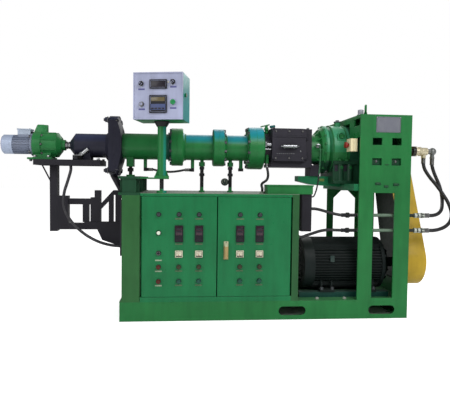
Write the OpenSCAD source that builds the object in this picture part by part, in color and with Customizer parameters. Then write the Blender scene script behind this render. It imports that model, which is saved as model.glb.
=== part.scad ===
// Cold-feed rubber extruder on a welded base: switch cabinet, screw barrel, feed roller housing,
// gearbox tower with belt drive, and a head with its own small geared motor.
// Millimetres. X runs along the screw towards the gearbox, Y to the back, Z up from the floor.

/* [Base frame] */
// Length of the base to the right of the cabinet, where the main motor stands
motor_bay_l = 672; // [660:2:760]
// Depth of the base, front to back
base_depth = 640; // [600:10:720]
// Height of the base, deck included
base_h = 112; // [100:2:140]
// Width of the rails' flanges
rail_flange = 50; // [40:2:60]
// Wall of the rails
rail_wall = 8; // [6:1:10]
// Thickness of the deck plate
deck_t = 8; // [6:1:12]
// Length of a fork slot
fork_slot_l = 162; // [140:2:180]
// Height of a fork slot
fork_slot_h = 52; // [44:2:60]

/* [Screw axis] */
// Height of the screw axis above the cabinet's top
screw_rise = 283; // [275:1:310]
// Outer diameter of the barrel sections
barrel_d = 162; // [150:2:176]
// Diameter of the first two flanges
flange_d = 236; // [220:2:250]
// Diameter of the large rear flange
rear_flange_d = 268; // [256:2:280]
// Length of the front barrel section, flanges left out
barrel_front_l = 321; // [300:1:340]
// Length of the middle barrel section
barrel_mid_l = 188; // [170:1:200]
// Length of the rear barrel section
barrel_rear_l = 148; // [130:1:160]

/* [Head] */
// Diameter of the head's tube
head_d = 148; // [130:2:156]
// Diameter of the head's clamp flange
head_flange_d = 372; // [340:2:390]
// Thickness of the head's clamp flange
head_flange_t = 36; // [28:1:50]
// Diameter of the little drive shaft
drive_shaft_d = 28; // [20:1:32]

/* [Head drive] */
// Body diameter of the small reducer
reducer_d = 150; // [140:2:160]
// Diameter of the small motor
small_motor_d = 118; // [110:2:126]
// Length of the drive table
table_l = 396; // [380:2:410]
// Thickness of the drive table
table_t = 34; // [28:1:40]

/* [Cabinet] */
// Width of the switch cabinet
cabinet_w = 922; // [910:1:925]
// Height of the cabinet's top above the floor
cabinet_top_z = 740; // [720:2:760]
// Sheet thickness of the cabinet
sheet_t = 3; // [2:0.5:4]
// Thickness of a door
door_t = 22; // [20:1:24]
// Width of the stile to the right of the doors
stile_w = 39; // [36:1:44]
// Gap between the two doors
door_gap = 6; // [5:0.5:8]

/* [Support column] */
// Width of the support columns
column_w = 100; // [90:1:102]
// Height of the cross beam on the columns
head_beam_h = 108; // [96:2:112]

/* [Control box] */
// Width of the control box
box_w = 280; // [260:5:300]
// Height of the control box
box_h = 259; // [240:1:270]
// Depth of the control box
box_d = 195; // [170:5:220]
// Turn of the control box on its post, degrees
box_turn = 12; // [0:1:15]
// Diameter of the control post
post_d = 50; // [40:1:56]

/* [Tower] */
// Width of the tower along the screw
tower_w = 314; // [306:2:330]
// Height of the tower's top above the screw axis
tower_rise = 193; // [190:1:230]
// Wall of the tower's plates
tower_wall = 10; // [6:1:14]
// Width of the tower's stiles
stile_tower_w = 88; // [80:1:95]
// Height of the tower's plate between its window and the gearbox shelf
window_lintel = 12; // [8:1:40]

/* [Main motor] */
// Diameter of the main motor's frame, fins left out
motor_d = 296; // [280:2:304]
// Length of the main motor's finned frame
motor_frame_l = 430; // [400:5:440]
// Number of cooling fins on each side of the motor's frame
motor_fins = 13; // [9:2:15]

/* [Belt guard] */
// Width of the belt guard along the shafts
guard_w = 128; // [110:2:140]
// Radius of the guard's lower end
guard_low_r = 148; // [135:1:150]
// Radius of the guard's upper end
guard_up_r = 110; // [95:1:112]

/* [Feed section] */
// Width of the feed cover
cover_w = 212; // [200:2:216]
// Height of the feed cover
cover_h = 202; // [190:2:206]
// Thickness of the feed cover
cover_t = 34; // [28:1:40]
// Width of the feed housing along the screw
housing_w = 260; // [256:2:280]
// Length of the neck between the feed housing and the gearbox, at least
neck_l = 61; // [50:1:120]

/* [Hidden] */
$fn = 64;

GREEN = "#1f9d52";
DARK_GREEN = "#167a43";
BLACK = "#2b2930";
SILVER = "#c4c8cc";
YELLOW = "#e6c143";
BRASS = "#c8a765";

// Thicknesses of the flanges and steps along the barrel
flange_pair_t = 76;
flange_mid_t = 72;
rear_flange_t = 99;
feed_neck_l = 41;
bell_l = 170;
barrel_out = 40;
column_inset = 12;
cabinet_gap = 4;

// The base carries the cabinet and the motor, and reaches from the columns to the tower's far side
floor_row_l = column_inset + column_w + cabinet_gap + cabinet_w + motor_bay_l;
screw_row_l = barrel_front_l + flange_pair_t + barrel_mid_l + flange_mid_t + barrel_rear_l + rear_flange_t
    + feed_neck_l + housing_w + neck_l + bell_l + tower_w - barrel_out;
base_len = max(floor_row_l, screw_row_l);

// Planes and places that the pieces share
axis_h = cabinet_top_z + screw_rise;
tower_top_z = axis_h + tower_rise;
front_y = -base_depth / 2;
back_y = base_depth / 2;
left_x = -base_len / 2;
right_x = base_len / 2;
deck_z = base_h;
rail_h = base_h - deck_t;
seat = 0.3;
running = 0.1;
chamfer = 12;

// A channel that lies along X, open towards +Y, its outer face at y = 0
module channel_x(l, h, flange, wall) {
    difference() {
        cube([l, flange, h]);
        translate([-1, wall, wall]) cube([l + 2, flange, h - 2 * wall]);
    }
}

// A disc along X, centred on the axis
module disc_x(x, l, d) {
    translate([x, 0, 0]) rotate([0, 90, 0]) cylinder(h = l, d = d);
}

// A cone along X, centred on the axis
module cone_x(x, l, d1, d2) {
    translate([x, 0, 0]) rotate([0, 90, 0]) cylinder(h = l, d1 = d1, d2 = d2);
}

// A slot with round ends through a wall that faces Y
module slot_y(l, h, depth) {
    r = h / 2;
    translate([0, depth / 2, 0]) rotate([90, 0, 0]) linear_extrude(depth)
        hull() for (s = [-1, 1]) translate([s * (l / 2 - r), 0]) circle(r, $fn = 32);
}

// Fork slots sit under the motor and under the tower
fork_slot_x = [right_x - 704, right_x - 159];
fork_slot_z = base_h - 60;

module base_rail_with_slots() {
    difference() {
        channel_x(base_len, rail_h, rail_flange, rail_wall);
        for (x = fork_slot_x)
            translate([x - left_x, rail_wall / 2, fork_slot_z])
                slot_y(fork_slot_l, fork_slot_h, 3 * rail_wall);
    }
}

module base_front_rail() {
    color(GREEN) translate([left_x, front_y, 0]) base_rail_with_slots();
}

module base_rear_rail() {
    color(GREEN) mirror([0, 1, 0]) translate([left_x, front_y, 0]) base_rail_with_slots();
}

// A channel across the base between the two long rails, outer face at x = 0
module cross_channel() {
    l = base_depth - 2 * rail_flange;
    translate([0, l / 2, 0]) rotate([0, 0, -90]) channel_x(l, rail_h, rail_flange, rail_wall);
}

module base_end_rails() {
    color(GREEN) for (s = [0, 1]) mirror([s, 0, 0]) translate([left_x, 0, 0]) cross_channel();
}

// Box sections under the deck, one of them at the middle of the base
cross_box_w = 80;
cross_box_x = [left_x + 375, left_x + 855, right_x - 455];

module base_cross_members() {
    l = base_depth - 2 * rail_flange;
    color(GREEN) for (x = cross_box_x) translate([x - cross_box_w / 2, -l / 2, 0])
        difference() {
            cube([cross_box_w, l, rail_h]);
            translate([rail_wall, -1, rail_wall])
                cube([cross_box_w - 2 * rail_wall, l + 2, rail_h - 2 * rail_wall]);
        }
}

module base_deck() {
    color(GREEN) translate([left_x, front_y, rail_h]) cube([base_len, base_depth, deck_t]);
}

// Two square columns carry a cross beam at the head end
column_x = left_x + column_inset;
column_head_z = cabinet_top_z - 13;
column_wall = 6;
column_foot_t = 10;

module square_tube(w, d, h, wall) {
    difference() {
        cube([w, d, h]);
        translate([wall, wall, -1]) cube([w - 2 * wall, d - 2 * wall, h + 2]);
    }
}

module support_columns() {
    color(GREEN) for (s = [0, 1]) mirror([0, s, 0]) translate([column_x, front_y, deck_z])
        union() {
            square_tube(column_w, column_w, column_head_z - deck_z, column_wall);
            translate([-10, 0, 0]) cube([column_w + 10, column_w, column_foot_t]);
        }
}

// Cross beam: two flange plates with a web box and stiffeners between them
beam_over = 20;
beam_x = column_x - beam_over;
beam_w = column_w + beam_over + cabinet_gap - 2;
beam_plate_t = 15;
web_in = 22;
stiffener_t = 8;
stiffener_in = 6;
stiffeners = 6;
stiffener_end = 40;
stiffener_pitch = (base_depth - 2 * stiffener_end - stiffener_t) / (stiffeners - 1);

module column_head() {
    color(DARK_GREEN) translate([beam_x, front_y, column_head_z]) union() {
        cube([beam_w, base_depth, beam_plate_t]);
        translate([0, 0, head_beam_h - beam_plate_t]) cube([beam_w, base_depth, beam_plate_t]);
        translate([web_in, stiffener_in, 0])
            cube([beam_w - 2 * web_in, base_depth - 2 * stiffener_in, head_beam_h]);
        for (i = [0:stiffeners - 1]) translate([stiffener_in, stiffener_end + i * stiffener_pitch, 0])
            cube([beam_w - 2 * stiffener_in, stiffener_t, head_beam_h]);
    }
}

// Saddle block with a jack rod between the cross beam and the barrel
support_x = column_x + 15;
beam_top_z = column_head_z + head_beam_h;
saddle_w = 42;
saddle_l = 90;
saddle_t = 80;
jack_d = 22;
jack_foot_d = 54;
jack_foot_t = 10;
saddle_z = axis_h - barrel_d / 2 - 46;

module barrel_support() {
    color(GREEN) difference() {
        translate([support_x, 0, 0]) union() {
            translate([0, 0, beam_top_z]) cylinder(h = jack_foot_t, d = jack_foot_d);
            translate([0, 0, beam_top_z]) cylinder(h = saddle_z - beam_top_z + 5, d = jack_d);
            translate([0, 0, (beam_top_z + saddle_z) / 2]) cylinder(h = jack_d, d = 1.7 * jack_d, $fn = 6);
            translate([-saddle_w / 2, -saddle_l / 2, saddle_z]) cube([saddle_w, saddle_l, saddle_t]);
        }
        translate([support_x - saddle_w, 0, axis_h]) rotate([0, 90, 0])
            cylinder(h = 2 * saddle_w, d = barrel_d + 2 * seat);
    }
}

// Cabinet: a sheet shell with its front open behind the two doors
cabinet_x = column_x + column_w + cabinet_gap;
cabinet_right_x = cabinet_x + cabinet_w;
cabinet_front_y = front_y;
door_gap_z = 6;
cabinet_sill_z = deck_z + 28;
cabinet_lintel_z = cabinet_top_z - 17;
door_back_gap = 6;
frame_y = cabinet_front_y + door_t + door_back_gap;
frame_w = 30;
gland_d = 28;
gland_l = 12;
top_gland_x = cabinet_x + 720;
top_gland_y = front_y + 120;
side_gland_y = front_y + 47;
side_gland_z = cabinet_top_z - 255;

module cabinet_body() {
    h = cabinet_top_z - deck_z;
    hollow_d = base_depth - (frame_y - cabinet_front_y) - 2 * sheet_t;
    color(GREEN) difference() {
        translate([cabinet_x, cabinet_front_y, deck_z]) cube([cabinet_w, base_depth, h]);
        translate([cabinet_x + sheet_t, frame_y + sheet_t, deck_z + sheet_t])
            cube([cabinet_w - 2 * sheet_t, hollow_d, h - 2 * sheet_t]);
        translate([cabinet_x - 1, cabinet_front_y - 1, cabinet_sill_z])
            cube([cabinet_w - stile_w + 1, frame_y - cabinet_front_y + 1, cabinet_lintel_z - cabinet_sill_z]);
        translate([cabinet_x + frame_w, cabinet_front_y - 1, cabinet_sill_z])
            cube([cabinet_w - stile_w - frame_w, 60, cabinet_lintel_z - cabinet_sill_z]);
    }
    color(GREEN) for (x = [hinge_left_x, hinge_right_x]) translate([x, hinge_y, 0]) {
        translate([0, 0, cabinet_sill_z - 2]) cylinder(h = pin_l, d = hinge_pin_d);
        translate([0, 0, cabinet_lintel_z - pin_l + 2]) cylinder(h = pin_l, d = hinge_pin_d);
    }
    color(GREEN) {
        translate([top_gland_x, top_gland_y, cabinet_top_z]) cylinder(h = gland_l, d = gland_d);
        translate([cabinet_right_x, side_gland_y, side_gland_z]) rotate([0, 90, 0])
            cylinder(h = gland_l, d = gland_d);
    }
}

// Doors turn on short pins in the sill and the lintel, inside their round hinge edges
hinge_pin_d = 10;
pin_l = 22;
door_x0 = cabinet_x + 6;
door_x1 = cabinet_x + cabinet_w - stile_w - 6;
door_w = (door_x1 - door_x0 - door_gap) / 2;
hinge_y = cabinet_front_y + door_t / 2;
hinge_left_x = door_x0 + door_t / 2;
hinge_right_x = door_x1 - door_t / 2;
door_z0 = cabinet_sill_z + 2;
door_h = cabinet_lintel_z - cabinet_sill_z - 4;

// A door with its hinge at the origin, reaching along +X
module door_leaf() {
    difference() {
        union() {
            cylinder(h = door_h, d = door_t);
            translate([0, -door_t / 2, 0]) cube([door_w - door_t / 2, door_t, door_h]);
        }
        translate([40, -door_t / 2 + sheet_t, 40]) cube([door_w - 70, door_t, door_h - 80]);
        for (z = [-1, door_h - pin_l]) translate([0, 0, z])
            cylinder(h = pin_l + 1, d = hinge_pin_d + 2 * running);
    }
}

module cabinet_door_left() {
    color(GREEN) translate([hinge_left_x, hinge_y, door_z0]) door_leaf();
}

module cabinet_door_right() {
    color(GREEN) translate([hinge_right_x, hinge_y, door_z0]) mirror([1, 0, 0]) door_leaf();
}

// Door fittings: each stands on the door's face, a flat bezel first and its cap on that
bezel_t = 4;
lamp_d = 20;
lamp_bezel_d = 28;
lamp_out = 14;
button_d = 24;
button_out = 18;
controller_w = 48;
controller_h = 96;
controller_out = 9;
meter_w = 42;
meter_h = 38;
meter_out = 7;
window_in = 5;
window_deep = 2;
row_lamp_z = cabinet_top_z - 121;
row_controller_z = cabinet_top_z - 232;
row_meter_z = cabinet_top_z - 349;
row_button_z = [cabinet_top_z - 424, cabinet_top_z - 507];

module round_fitting(x, z, d, proud) {
    translate([x, cabinet_front_y, z]) rotate([90, 0, 0]) {
        cylinder(h = bezel_t, d = lamp_bezel_d);
        cylinder(h = proud, d = d);
    }
}

module square_fitting(x, z, w, h, proud) {
    translate([x - w / 2, cabinet_front_y - proud, z - h / 2]) difference() {
        cube([w, proud, h]);
        translate([window_in, -1, window_in]) cube([w - 2 * window_in, window_deep + 1, h - 2 * window_in]);
    }
}

module control_column(x) {
    round_fitting(x, row_lamp_z, lamp_d, lamp_out);
    square_fitting(x, row_controller_z, controller_w, controller_h, controller_out);
    square_fitting(x, row_meter_z, meter_w, meter_h, meter_out);
    for (z = row_button_z) round_fitting(x, z, button_d, button_out);
}

control_x_left = [door_x0 + 0.497 * door_w, door_x0 + 0.763 * door_w];
control_x_right = [door_x1 - 0.7006 * door_w, door_x1 - 0.4347 * door_w];
switch_x = door_x0 + 0.229 * door_w;
switch_z = [row_lamp_z, row_lamp_z - 106, row_lamp_z - 223];

module left_door_controls() {
    color(BLACK) {
        for (x = control_x_left) control_column(x);
        for (z = switch_z) round_fitting(switch_x, z, lamp_d, lamp_out);
        for (z = row_button_z) round_fitting(switch_x, z, button_d, button_out);
    }
}

module right_door_controls() {
    color(BLACK) for (x = control_x_right) control_column(x);
}

// Lever handle near the free edge of the right door: plate, spindle and a tapered grip
handle_x = door_x1 - 0.888 * door_w;
handle_z = cabinet_top_z - 328;
handle_plate_w = 26;
handle_plate_h = 104;
handle_plate_t = 7;
grip_w = 16;
grip_l = 88;
grip_out = 24;
grip_t = 10;

module door_handle() {
    color(BRASS) translate([handle_x, cabinet_front_y, handle_z]) {
        translate([-handle_plate_w / 2, -handle_plate_t, -handle_plate_h / 2]) difference() {
            cube([handle_plate_w, handle_plate_t, handle_plate_h]);
            for (z = [10, handle_plate_h - 10]) translate([handle_plate_w / 2, 2, z]) rotate([90, 0, 0])
                cylinder(h = 4, d = 7);
        }
        translate([0, 0, grip_l / 4]) rotate([90, 0, 0]) cylinder(h = grip_out - 2, d = grip_w);
        translate([0, -grip_out, -grip_l / 2]) rotate([-90, 0, 0]) linear_extrude(grip_t)
            polygon([[-grip_w / 3, 0], [grip_w / 3, 0], [grip_w / 2, -0.6 * grip_l], [grip_w / 2, -grip_l],
                [-grip_w / 2, -grip_l], [-grip_w / 2, -0.6 * grip_l]]);
    }
}

// Control box, turned on its post: a body, a front panel with a rim, a lock on its right side
box_x = cabinet_x + 119;
box_y = front_y + 30;
box_z = axis_h + 127;
panel_t = 16;
rim_w = 7;
rim_t = 3;
display_w = 96;
display_h = 48;
display_v = 193;
control_v = 84;
screen_out = 9;
knob_d = 22;
knob_collar_d = 30;
knob_out = 18;
lock_v = 140;
lock_y = 40;

module at_box() {
    translate([box_x, box_y, box_z]) rotate([0, 0, -box_turn])
        translate([-box_w / 2, -box_d / 2, 0]) children();
}

module control_box() {
    color(GREEN) at_box() union() {
        translate([0, panel_t, 0]) cube([box_w, box_d - panel_t, box_h]);
        translate([box_w, panel_t + lock_y, lock_v]) rotate([0, 90, 0]) cylinder(h = 10, d = knob_d);
    }
}

// A framed instrument at u along the panel and v up it
module panel_screen(u, v, w, h, split) {
    translate([u - w / 2, -screen_out, v - h / 2]) difference() {
        cube([w, screen_out + 1, h]);
        translate([6, -1, split]) cube([w - 12, window_deep + 1, h - split - 6]);
        if (split > 10) translate([6, -1, 6]) cube([w - 12, window_deep + 1, split - 12]);
    }
}

module panel_knob(u, v) {
    translate([u, 0, v]) rotate([90, 0, 0]) {
        cylinder(h = 6, d = knob_collar_d);
        cylinder(h = knob_out, d = knob_d);
    }
}

module control_panel() {
    color("#c9c6da") at_box() union() {
        difference() {
            cube([box_w, panel_t, box_h]);
            translate([rim_w, -1, rim_w]) cube([box_w - 2 * rim_w, rim_t + 1, box_h - 2 * rim_w]);
        }
        translate([0, rim_t, 0]) {
            panel_screen(box_w / 2 + 3, display_v, display_w, display_h, 6);
            panel_screen(box_w / 2 + 3, control_v, display_w, display_w, 48);
            for (p = [[47, 196], [box_w - 55, 204], [49, 83], [box_w - 53, 94]]) panel_knob(p[0], p[1]);
        }
    }
}

// Post with a flared head, a gusseted foot on a bar from the cross beam, and a short leg to the cabinet
bar_t = 9;
bar_w = 60;
foot_t = 10;
foot_reach = 41;
gusset_h = 31;
post_foot_z = beam_top_z - 15;
mount_h = 31;
mount_d = 88;
pad_d = 58;
pad_t = 14;
leg_d = 24;
post_z = post_foot_z + bar_t;

module foot_gusset(reach) {
    polygon([[0, 0], [reach, 0], [reach, 3], [post_d / 2 + 2, gusset_h], [0, gusset_h]]);
}

module control_post() {
    color(GREEN) translate([box_x, box_y, 0]) {
        translate([0, 0, box_z - mount_h]) cylinder(h = mount_h - 5, d1 = post_d + 8, d2 = mount_d);
        translate([0, 0, box_z - 5]) cylinder(h = 5, d = mount_d);
        translate([0, 0, post_z]) cylinder(h = box_z - mount_h - post_z + 1, d = post_d);
        translate([-foot_reach, -bar_w / 2, post_z]) cube([2 * foot_reach, bar_w, foot_t]);
        for (a = [0:90:270]) rotate([0, 0, a]) translate([0, 3, post_z + foot_t]) rotate([90, 0, 0])
            linear_extrude(6) foot_gusset(a % 180 == 0 ? foot_reach - 3 : bar_w / 2 - 2);
        translate([beam_x + beam_w - box_x, -bar_w / 2, post_foot_z])
            cube([foot_reach - beam_x - beam_w + box_x, bar_w, bar_t]);
        translate([0, 0, cabinet_top_z + pad_t]) cylinder(h = post_foot_z - cabinet_top_z - pad_t, d = leg_d);
        translate([0, 0, cabinet_top_z]) cylinder(h = pad_t, d = pad_d);
    }
}

// Barrel, along the screw axis from the head to the feed section
barrel_x = left_x - barrel_out;
flange1_x = barrel_x + barrel_front_l;
barrel2_x = flange1_x + flange_pair_t;
flange2_x = barrel2_x + barrel_mid_l;
barrel3_x = flange2_x + flange_mid_t;
flange3_x = barrel3_x + barrel_rear_l;
feed_x = flange3_x + rear_flange_t;
fillet = 14;
flange_step = 60;

module on_axis() {
    translate([0, 0, axis_h]) children();
}

// A flange along X with its outer edge broken on the left, the right or both sides
module flange_x(x, l, d, left = 0, right = 0) {
    cone_x(x, left, d - 2 * left, d);
    disc_x(x + left, l - left - right, d);
    cone_x(x + l - right, right, d, d - 2 * right);
}

module barrel_front() {
    color(GREEN) on_axis() union() {
        disc_x(barrel_x, barrel_front_l, barrel_d);
        flange_x(flange1_x, flange_pair_t / 2, flange_d, 5, 1);
        disc_x(flange1_x - fillet, fillet + 1, flange_d - flange_step);
    }
}

module barrel_middle() {
    color(GREEN) on_axis() union() {
        flange_x(flange1_x + flange_pair_t / 2, flange_pair_t / 2, flange_d, 1, 5);
        disc_x(barrel2_x, barrel_mid_l, barrel_d);
        cone_x(barrel2_x - 1, fillet, barrel_d + 2 * fillet, barrel_d);
        flange_x(flange2_x, flange_mid_t / 2, flange_d, 5, 1);
    }
}

module barrel_rear() {
    color(GREEN) on_axis() union() {
        flange_x(flange2_x + flange_mid_t / 2, flange_mid_t / 2, flange_d, 1, 5);
        disc_x(barrel3_x, barrel_rear_l, barrel_d);
        cone_x(barrel3_x - 1, fillet, barrel_d + 2 * fillet, barrel_d);
        flange_x(flange3_x, rear_flange_t / 2, rear_flange_d, 6, 1);
        flange_x(flange3_x + rear_flange_t / 2, rear_flange_t / 2, rear_flange_d, 1, 6);
    }
}

// Head: a tube with a tapered nose, and the clamp flange that ties it to the barrel
clamp_t = 22;
head_flange_x = barrel_x - head_flange_t - clamp_t;
head_tube_l = 209;
head_nose_l = 33;
head_nose_d = 60;
head_x = head_flange_x - head_tube_l;
head_nose_x = head_x - head_nose_l;
head_fillet = 22;
head_foot_x = head_x + 50;
head_foot_w = 44;
shaft_in = 25;
shaft_gap = 32;
reducer_nose_x = head_nose_x - shaft_gap;
table_z = axis_h - 92;
swing_angles = [30, 150, 210, 330];
head_flat = 208;
head_web_l = 34;
head_web_t = 16;
swing_bolt_d = 18;
swing_nut_d = 34;
swing_r = head_flange_d / 2 - 8;
slot_w = swing_bolt_d + 4;
swing_eye_d = clamp_t + 6;
swing_eye_x = head_flange_x + head_flange_t + swing_eye_d / 2 + 1;

module at_swing_bolts() {
    for (a = swing_angles) rotate([a, 0, 0]) translate([0, 0, swing_r]) children();
}

// The band that is left of a disc on the axis when its two sides are cut flat
module flat_sided(x, l) {
    intersection() {
        children();
        translate([x - 1, -head_flat / 2, -head_flange_d]) cube([l + 2, head_flat, 2 * head_flange_d]);
    }
}

// Open slots in the flange's rim, one for each swing bolt
module rim_slots(x, l) {
    at_swing_bolts() translate([x - 1, -slot_w / 2, -swing_bolt_d / 2 - 2])
        cube([l + 2, slot_w, head_flange_d]);
}

module head_body() {
    color(BLACK) on_axis() difference() {
        union() {
            cone_x(head_nose_x, head_nose_l, head_nose_d, head_d);
            disc_x(head_x, head_flange_x - head_x, head_d);
            cone_x(head_flange_x - head_fillet, head_fillet, head_d, head_d + 2 * head_fillet);
            flat_sided(head_flange_x, head_flange_t)
                flange_x(head_flange_x, head_flange_t, head_flange_d, 4, 0);
            translate([0, head_web_t / 2, 0]) rotate([90, 0, 0]) linear_extrude(head_web_t)
                polygon([[head_flange_x - head_web_l, -head_d / 2 + 10], [head_flange_x + 1, -head_d / 2 + 10],
                    [head_flange_x + 1, -head_d], [head_flange_x - 8, -head_d / 2 - 30]]);
            for (s = [-1, 1]) translate([head_foot_x, s * 40 - 14, table_z - axis_h])
                cube([head_foot_w, 28, 60]);
        }
        rim_slots(head_flange_x, head_flange_t);
        disc_x(head_nose_x - 1, shaft_in + 1, drive_shaft_d + 2 * running);
    }
}

// Rear ring, sloped towards the barrel, with an eye, a bolt and a nut at each slot of the head's flange
module head_clamp() {
    color(BLACK) on_axis() union() {
        difference() {
            flat_sided(barrel_x - clamp_t, clamp_t + 24) union() {
                disc_x(barrel_x - clamp_t, clamp_t, head_flange_d);
                cone_x(barrel_x - 1, 24, head_flange_d - 20, barrel_d + 50);
            }
            disc_x(barrel_x, 60, barrel_d + 2 * seat);
            rim_slots(barrel_x - clamp_t, clamp_t + 30);
        }
        at_swing_bolts() {
            translate([swing_eye_x, -slot_w / 2 - 1, 0]) rotate([-90, 0, 0])
                cylinder(h = slot_w + 2, d = swing_eye_d);
            disc_x(head_flange_x - 26, head_flange_t + clamp_t / 2 + 26, swing_bolt_d);
            translate([head_flange_x - 18, 0, 0]) rotate([0, 90, 0])
                cylinder(h = 17.7, d = swing_nut_d, $fn = 6);
        }
    }
}

sensor_w = 56;
sensor_h = 30;
sensor_d = 26;
sensor_l = 64;
sensor_x = head_nose_x + 33;
sensor_y = -head_d / 2 - 34;

module head_sensor() {
    color(SILVER) translate([sensor_x, sensor_y, table_z]) union() {
        cube([sensor_w, sensor_h, sensor_h]);
        translate([sensor_w - 16, sensor_h / 2, sensor_h - 5]) rotate([0, 50, 0]) {
            cylinder(h = sensor_l, d = sensor_d);
            cylinder(h = 20, d = sensor_d + 8, $fn = 6);
        }
    }
}

// Little drive: shaft, reducer and motor on a table
reducer_l = 186;
reducer_ring_l = 52;
reducer_ring_d = 162;
reducer_body_l = 92;
reducer_nose_d = 66;
reducer_flange_x = reducer_nose_x - reducer_l;
reducer_foot_l = 112;
reducer_foot_w = 140;
reducer_lug_z = 122;
reducer_lug_l = 58;
reducer_lug_w = 60;
collar_d = 46;
reducer_ribs = 8;

module drive_shaft() {
    color(SILVER) on_axis() union() {
        disc_x(reducer_nose_x - shaft_in, head_nose_x - reducer_nose_x + 2 * shaft_in, drive_shaft_d);
        disc_x(reducer_nose_x + 1, 13, collar_d);
        disc_x(head_nose_x - 11, 10, collar_d);
    }
}

module head_reducer() {
    body_x = reducer_flange_x + reducer_ring_l;
    cone_l = reducer_nose_x - body_x - reducer_body_l - 18;
    color(GREEN) difference() {
        union() {
            on_axis() {
                flange_x(reducer_flange_x, reducer_ring_l, reducer_ring_d, 3, 3);
                disc_x(body_x - 1, reducer_body_l, reducer_d);
                cone_x(body_x + reducer_body_l - 2, cone_l, reducer_d, 90);
                disc_x(reducer_nose_x - 22, 22, reducer_nose_d);
                for (i = [0:reducer_ribs - 1]) rotate([(i + 0.5) * 360 / reducer_ribs, 0, 0])
                    translate([body_x - 1, -4, 0]) cube([reducer_body_l - 8, 8, reducer_d / 2 + 5]);
                translate([reducer_flange_x + 20, -reducer_lug_w / 2, 0]) rotate([90, 0, 90])
                    linear_extrude(reducer_lug_l) polygon([[6, 0], [reducer_lug_w - 6, 0],
                        [reducer_lug_w - 16, reducer_lug_z], [16, reducer_lug_z]]);
            }
            translate([reducer_flange_x + 4, -reducer_foot_w / 2, table_z])
                cube([reducer_foot_l, reducer_foot_w, 14]);
            for (s = [-1, 1]) translate([reducer_flange_x + 12, s * 45 - 10, table_z])
                cube([reducer_foot_l - 16, 20, 60]);
        }
        on_axis() disc_x(reducer_nose_x - shaft_in - 1, shaft_in + 2, drive_shaft_d + 2 * running);
    }
}

head_motor_flange_t = 14;
head_motor_flange_d = 140;
head_motor_frame_l = 108;
cowl_l = 66;
head_motor_x = reducer_flange_x - head_motor_flange_t - head_motor_frame_l;
terminal_l = 76;
terminal_w = 64;
terminal_z = small_motor_d / 2 + 36;

module head_motor() {
    color(SILVER) on_axis() union() {
        disc_x(reducer_flange_x - head_motor_flange_t, head_motor_flange_t, head_motor_flange_d);
        disc_x(head_motor_x - 1, head_motor_frame_l + 2, small_motor_d - 12);
        for (a = [0:15:359]) rotate([a, 0, 0]) translate([head_motor_x, -1.5, small_motor_d / 2 - 10])
            cube([head_motor_frame_l - 8, 3, 10]);
        flange_x(head_motor_x - cowl_l, cowl_l, small_motor_d, 7, 0);
        translate([head_motor_x + 28, -terminal_w / 2, 40]) cube([terminal_l, terminal_w, terminal_z - 44]);
        translate([head_motor_x + 25, -terminal_w / 2 - 3, terminal_z - 7])
            cube([terminal_l + 6, terminal_w + 6, 7]);
    }
}

// Cantilever frame that carries the table from a plate across the two columns
frame_plate_t = 10;
frame_plate_x = column_x - frame_plate_t;
frame_z = cabinet_top_z - 240;
frame_t = 56;
post_w = 45;
post_shift = 23;
frame_post_x = frame_plate_x - 397;
table_x = reducer_flange_x + 20;
table_w = 220;
brace_d = 9;
brace_l = 150;

// A plate outline drawn in X and Z, from the post's lower left corner, thick along Y
module frame_outline(points, t = frame_t) {
    translate([frame_post_x, t / 2, frame_z]) rotate([90, 0, 0]) linear_extrude(t) polygon(points);
}

module motor_table() {
    color(BLACK) union() {
        difference() {
            translate([table_x, -table_w / 2, table_z - table_t]) cube([table_l, table_w, table_t]);
            translate([table_x + rail_wall, -table_w / 2 + rail_wall, table_z - table_t - rail_wall])
                cube([table_l - 2 * rail_wall, table_w - 2 * rail_wall, table_t]);
        }
        translate([frame_post_x - post_shift - post_w, -frame_t / 2, frame_z - 11])
            cube([post_w, frame_t, table_z - frame_z + 11 - rail_wall]);
        translate([frame_post_x - post_shift - post_w + 2, 0, table_z - 139]) rotate([0, -27, 0])
            cylinder(h = brace_l, d = brace_d);
    }
}

link_t = 40;
link_end = beam_x - frame_post_x;
rack_holes = 7;
rack_pitch = 21;
rack_x = frame_post_x + 362;
rack_z = frame_z + 56;
rack_hole = [8, 2 * frame_t, 12];

module side_frame() {
    color(BLACK) union() {
        frame_outline([[-post_shift, 0], [220, 0], [250, -66], [397, -118], [397, 46], [140, 46], [140, 38],
            [-post_shift, 38]]);
        frame_outline([[-post_shift, 37], [41, 37], [41, 209], [-post_shift, 209]]);
        frame_outline([[40, 156], [178, 156], [178, 192], [40, 192]], link_t);
        frame_outline([[129, 45], [165, 45], [165, 157], [129, 157]], link_t);
        frame_outline([[177, 45], [239, 45], [239, 245], [202, 245], [202, 200], [177, 200]], link_t);
        frame_outline([[238, 124], [290, 180], [290, 216], [238, 159]], link_t);
        frame_outline([[289, 45], [316, 45], [316, 216], [link_end, 216], [link_end, 246], [317, 246],
            [289, 216]], link_t);
        difference() {
            frame_outline([[330, 45], [397, 45], [397, 217], [330, 217]], link_t);
            for (i = [0:rack_holes - 1]) translate([rack_x, -frame_t, rack_z + i * rack_pitch])
                cube(rack_hole);
        }
        translate([frame_plate_x, front_y + 4, frame_z - 120]) cube([frame_plate_t, base_depth - 8, 320]);
    }
}

// Feed section: a hollow housing round the screw, its front closed by a hinged cover
housing_x = feed_x + feed_neck_l;
housing_front_y = -96;
housing_back_y = 130;
housing_z0 = axis_h - 119;
housing_foot_t = 20;
housing_z1 = axis_h + 121;
neck_d = 190;
chamber_in = 36;
chamber_x = housing_x + chamber_in;
chamber_w = housing_w - 110;
chamber_y1 = 73;
chamber_z0 = axis_h - 70;
chamber_h = 150;
mouth_y0 = -40;
mouth_d = 90;
mouth_in = 10;
foot_arm_z = axis_h - 173;
foot_arm_h = 70;
foot_arm_w = 120;

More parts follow.
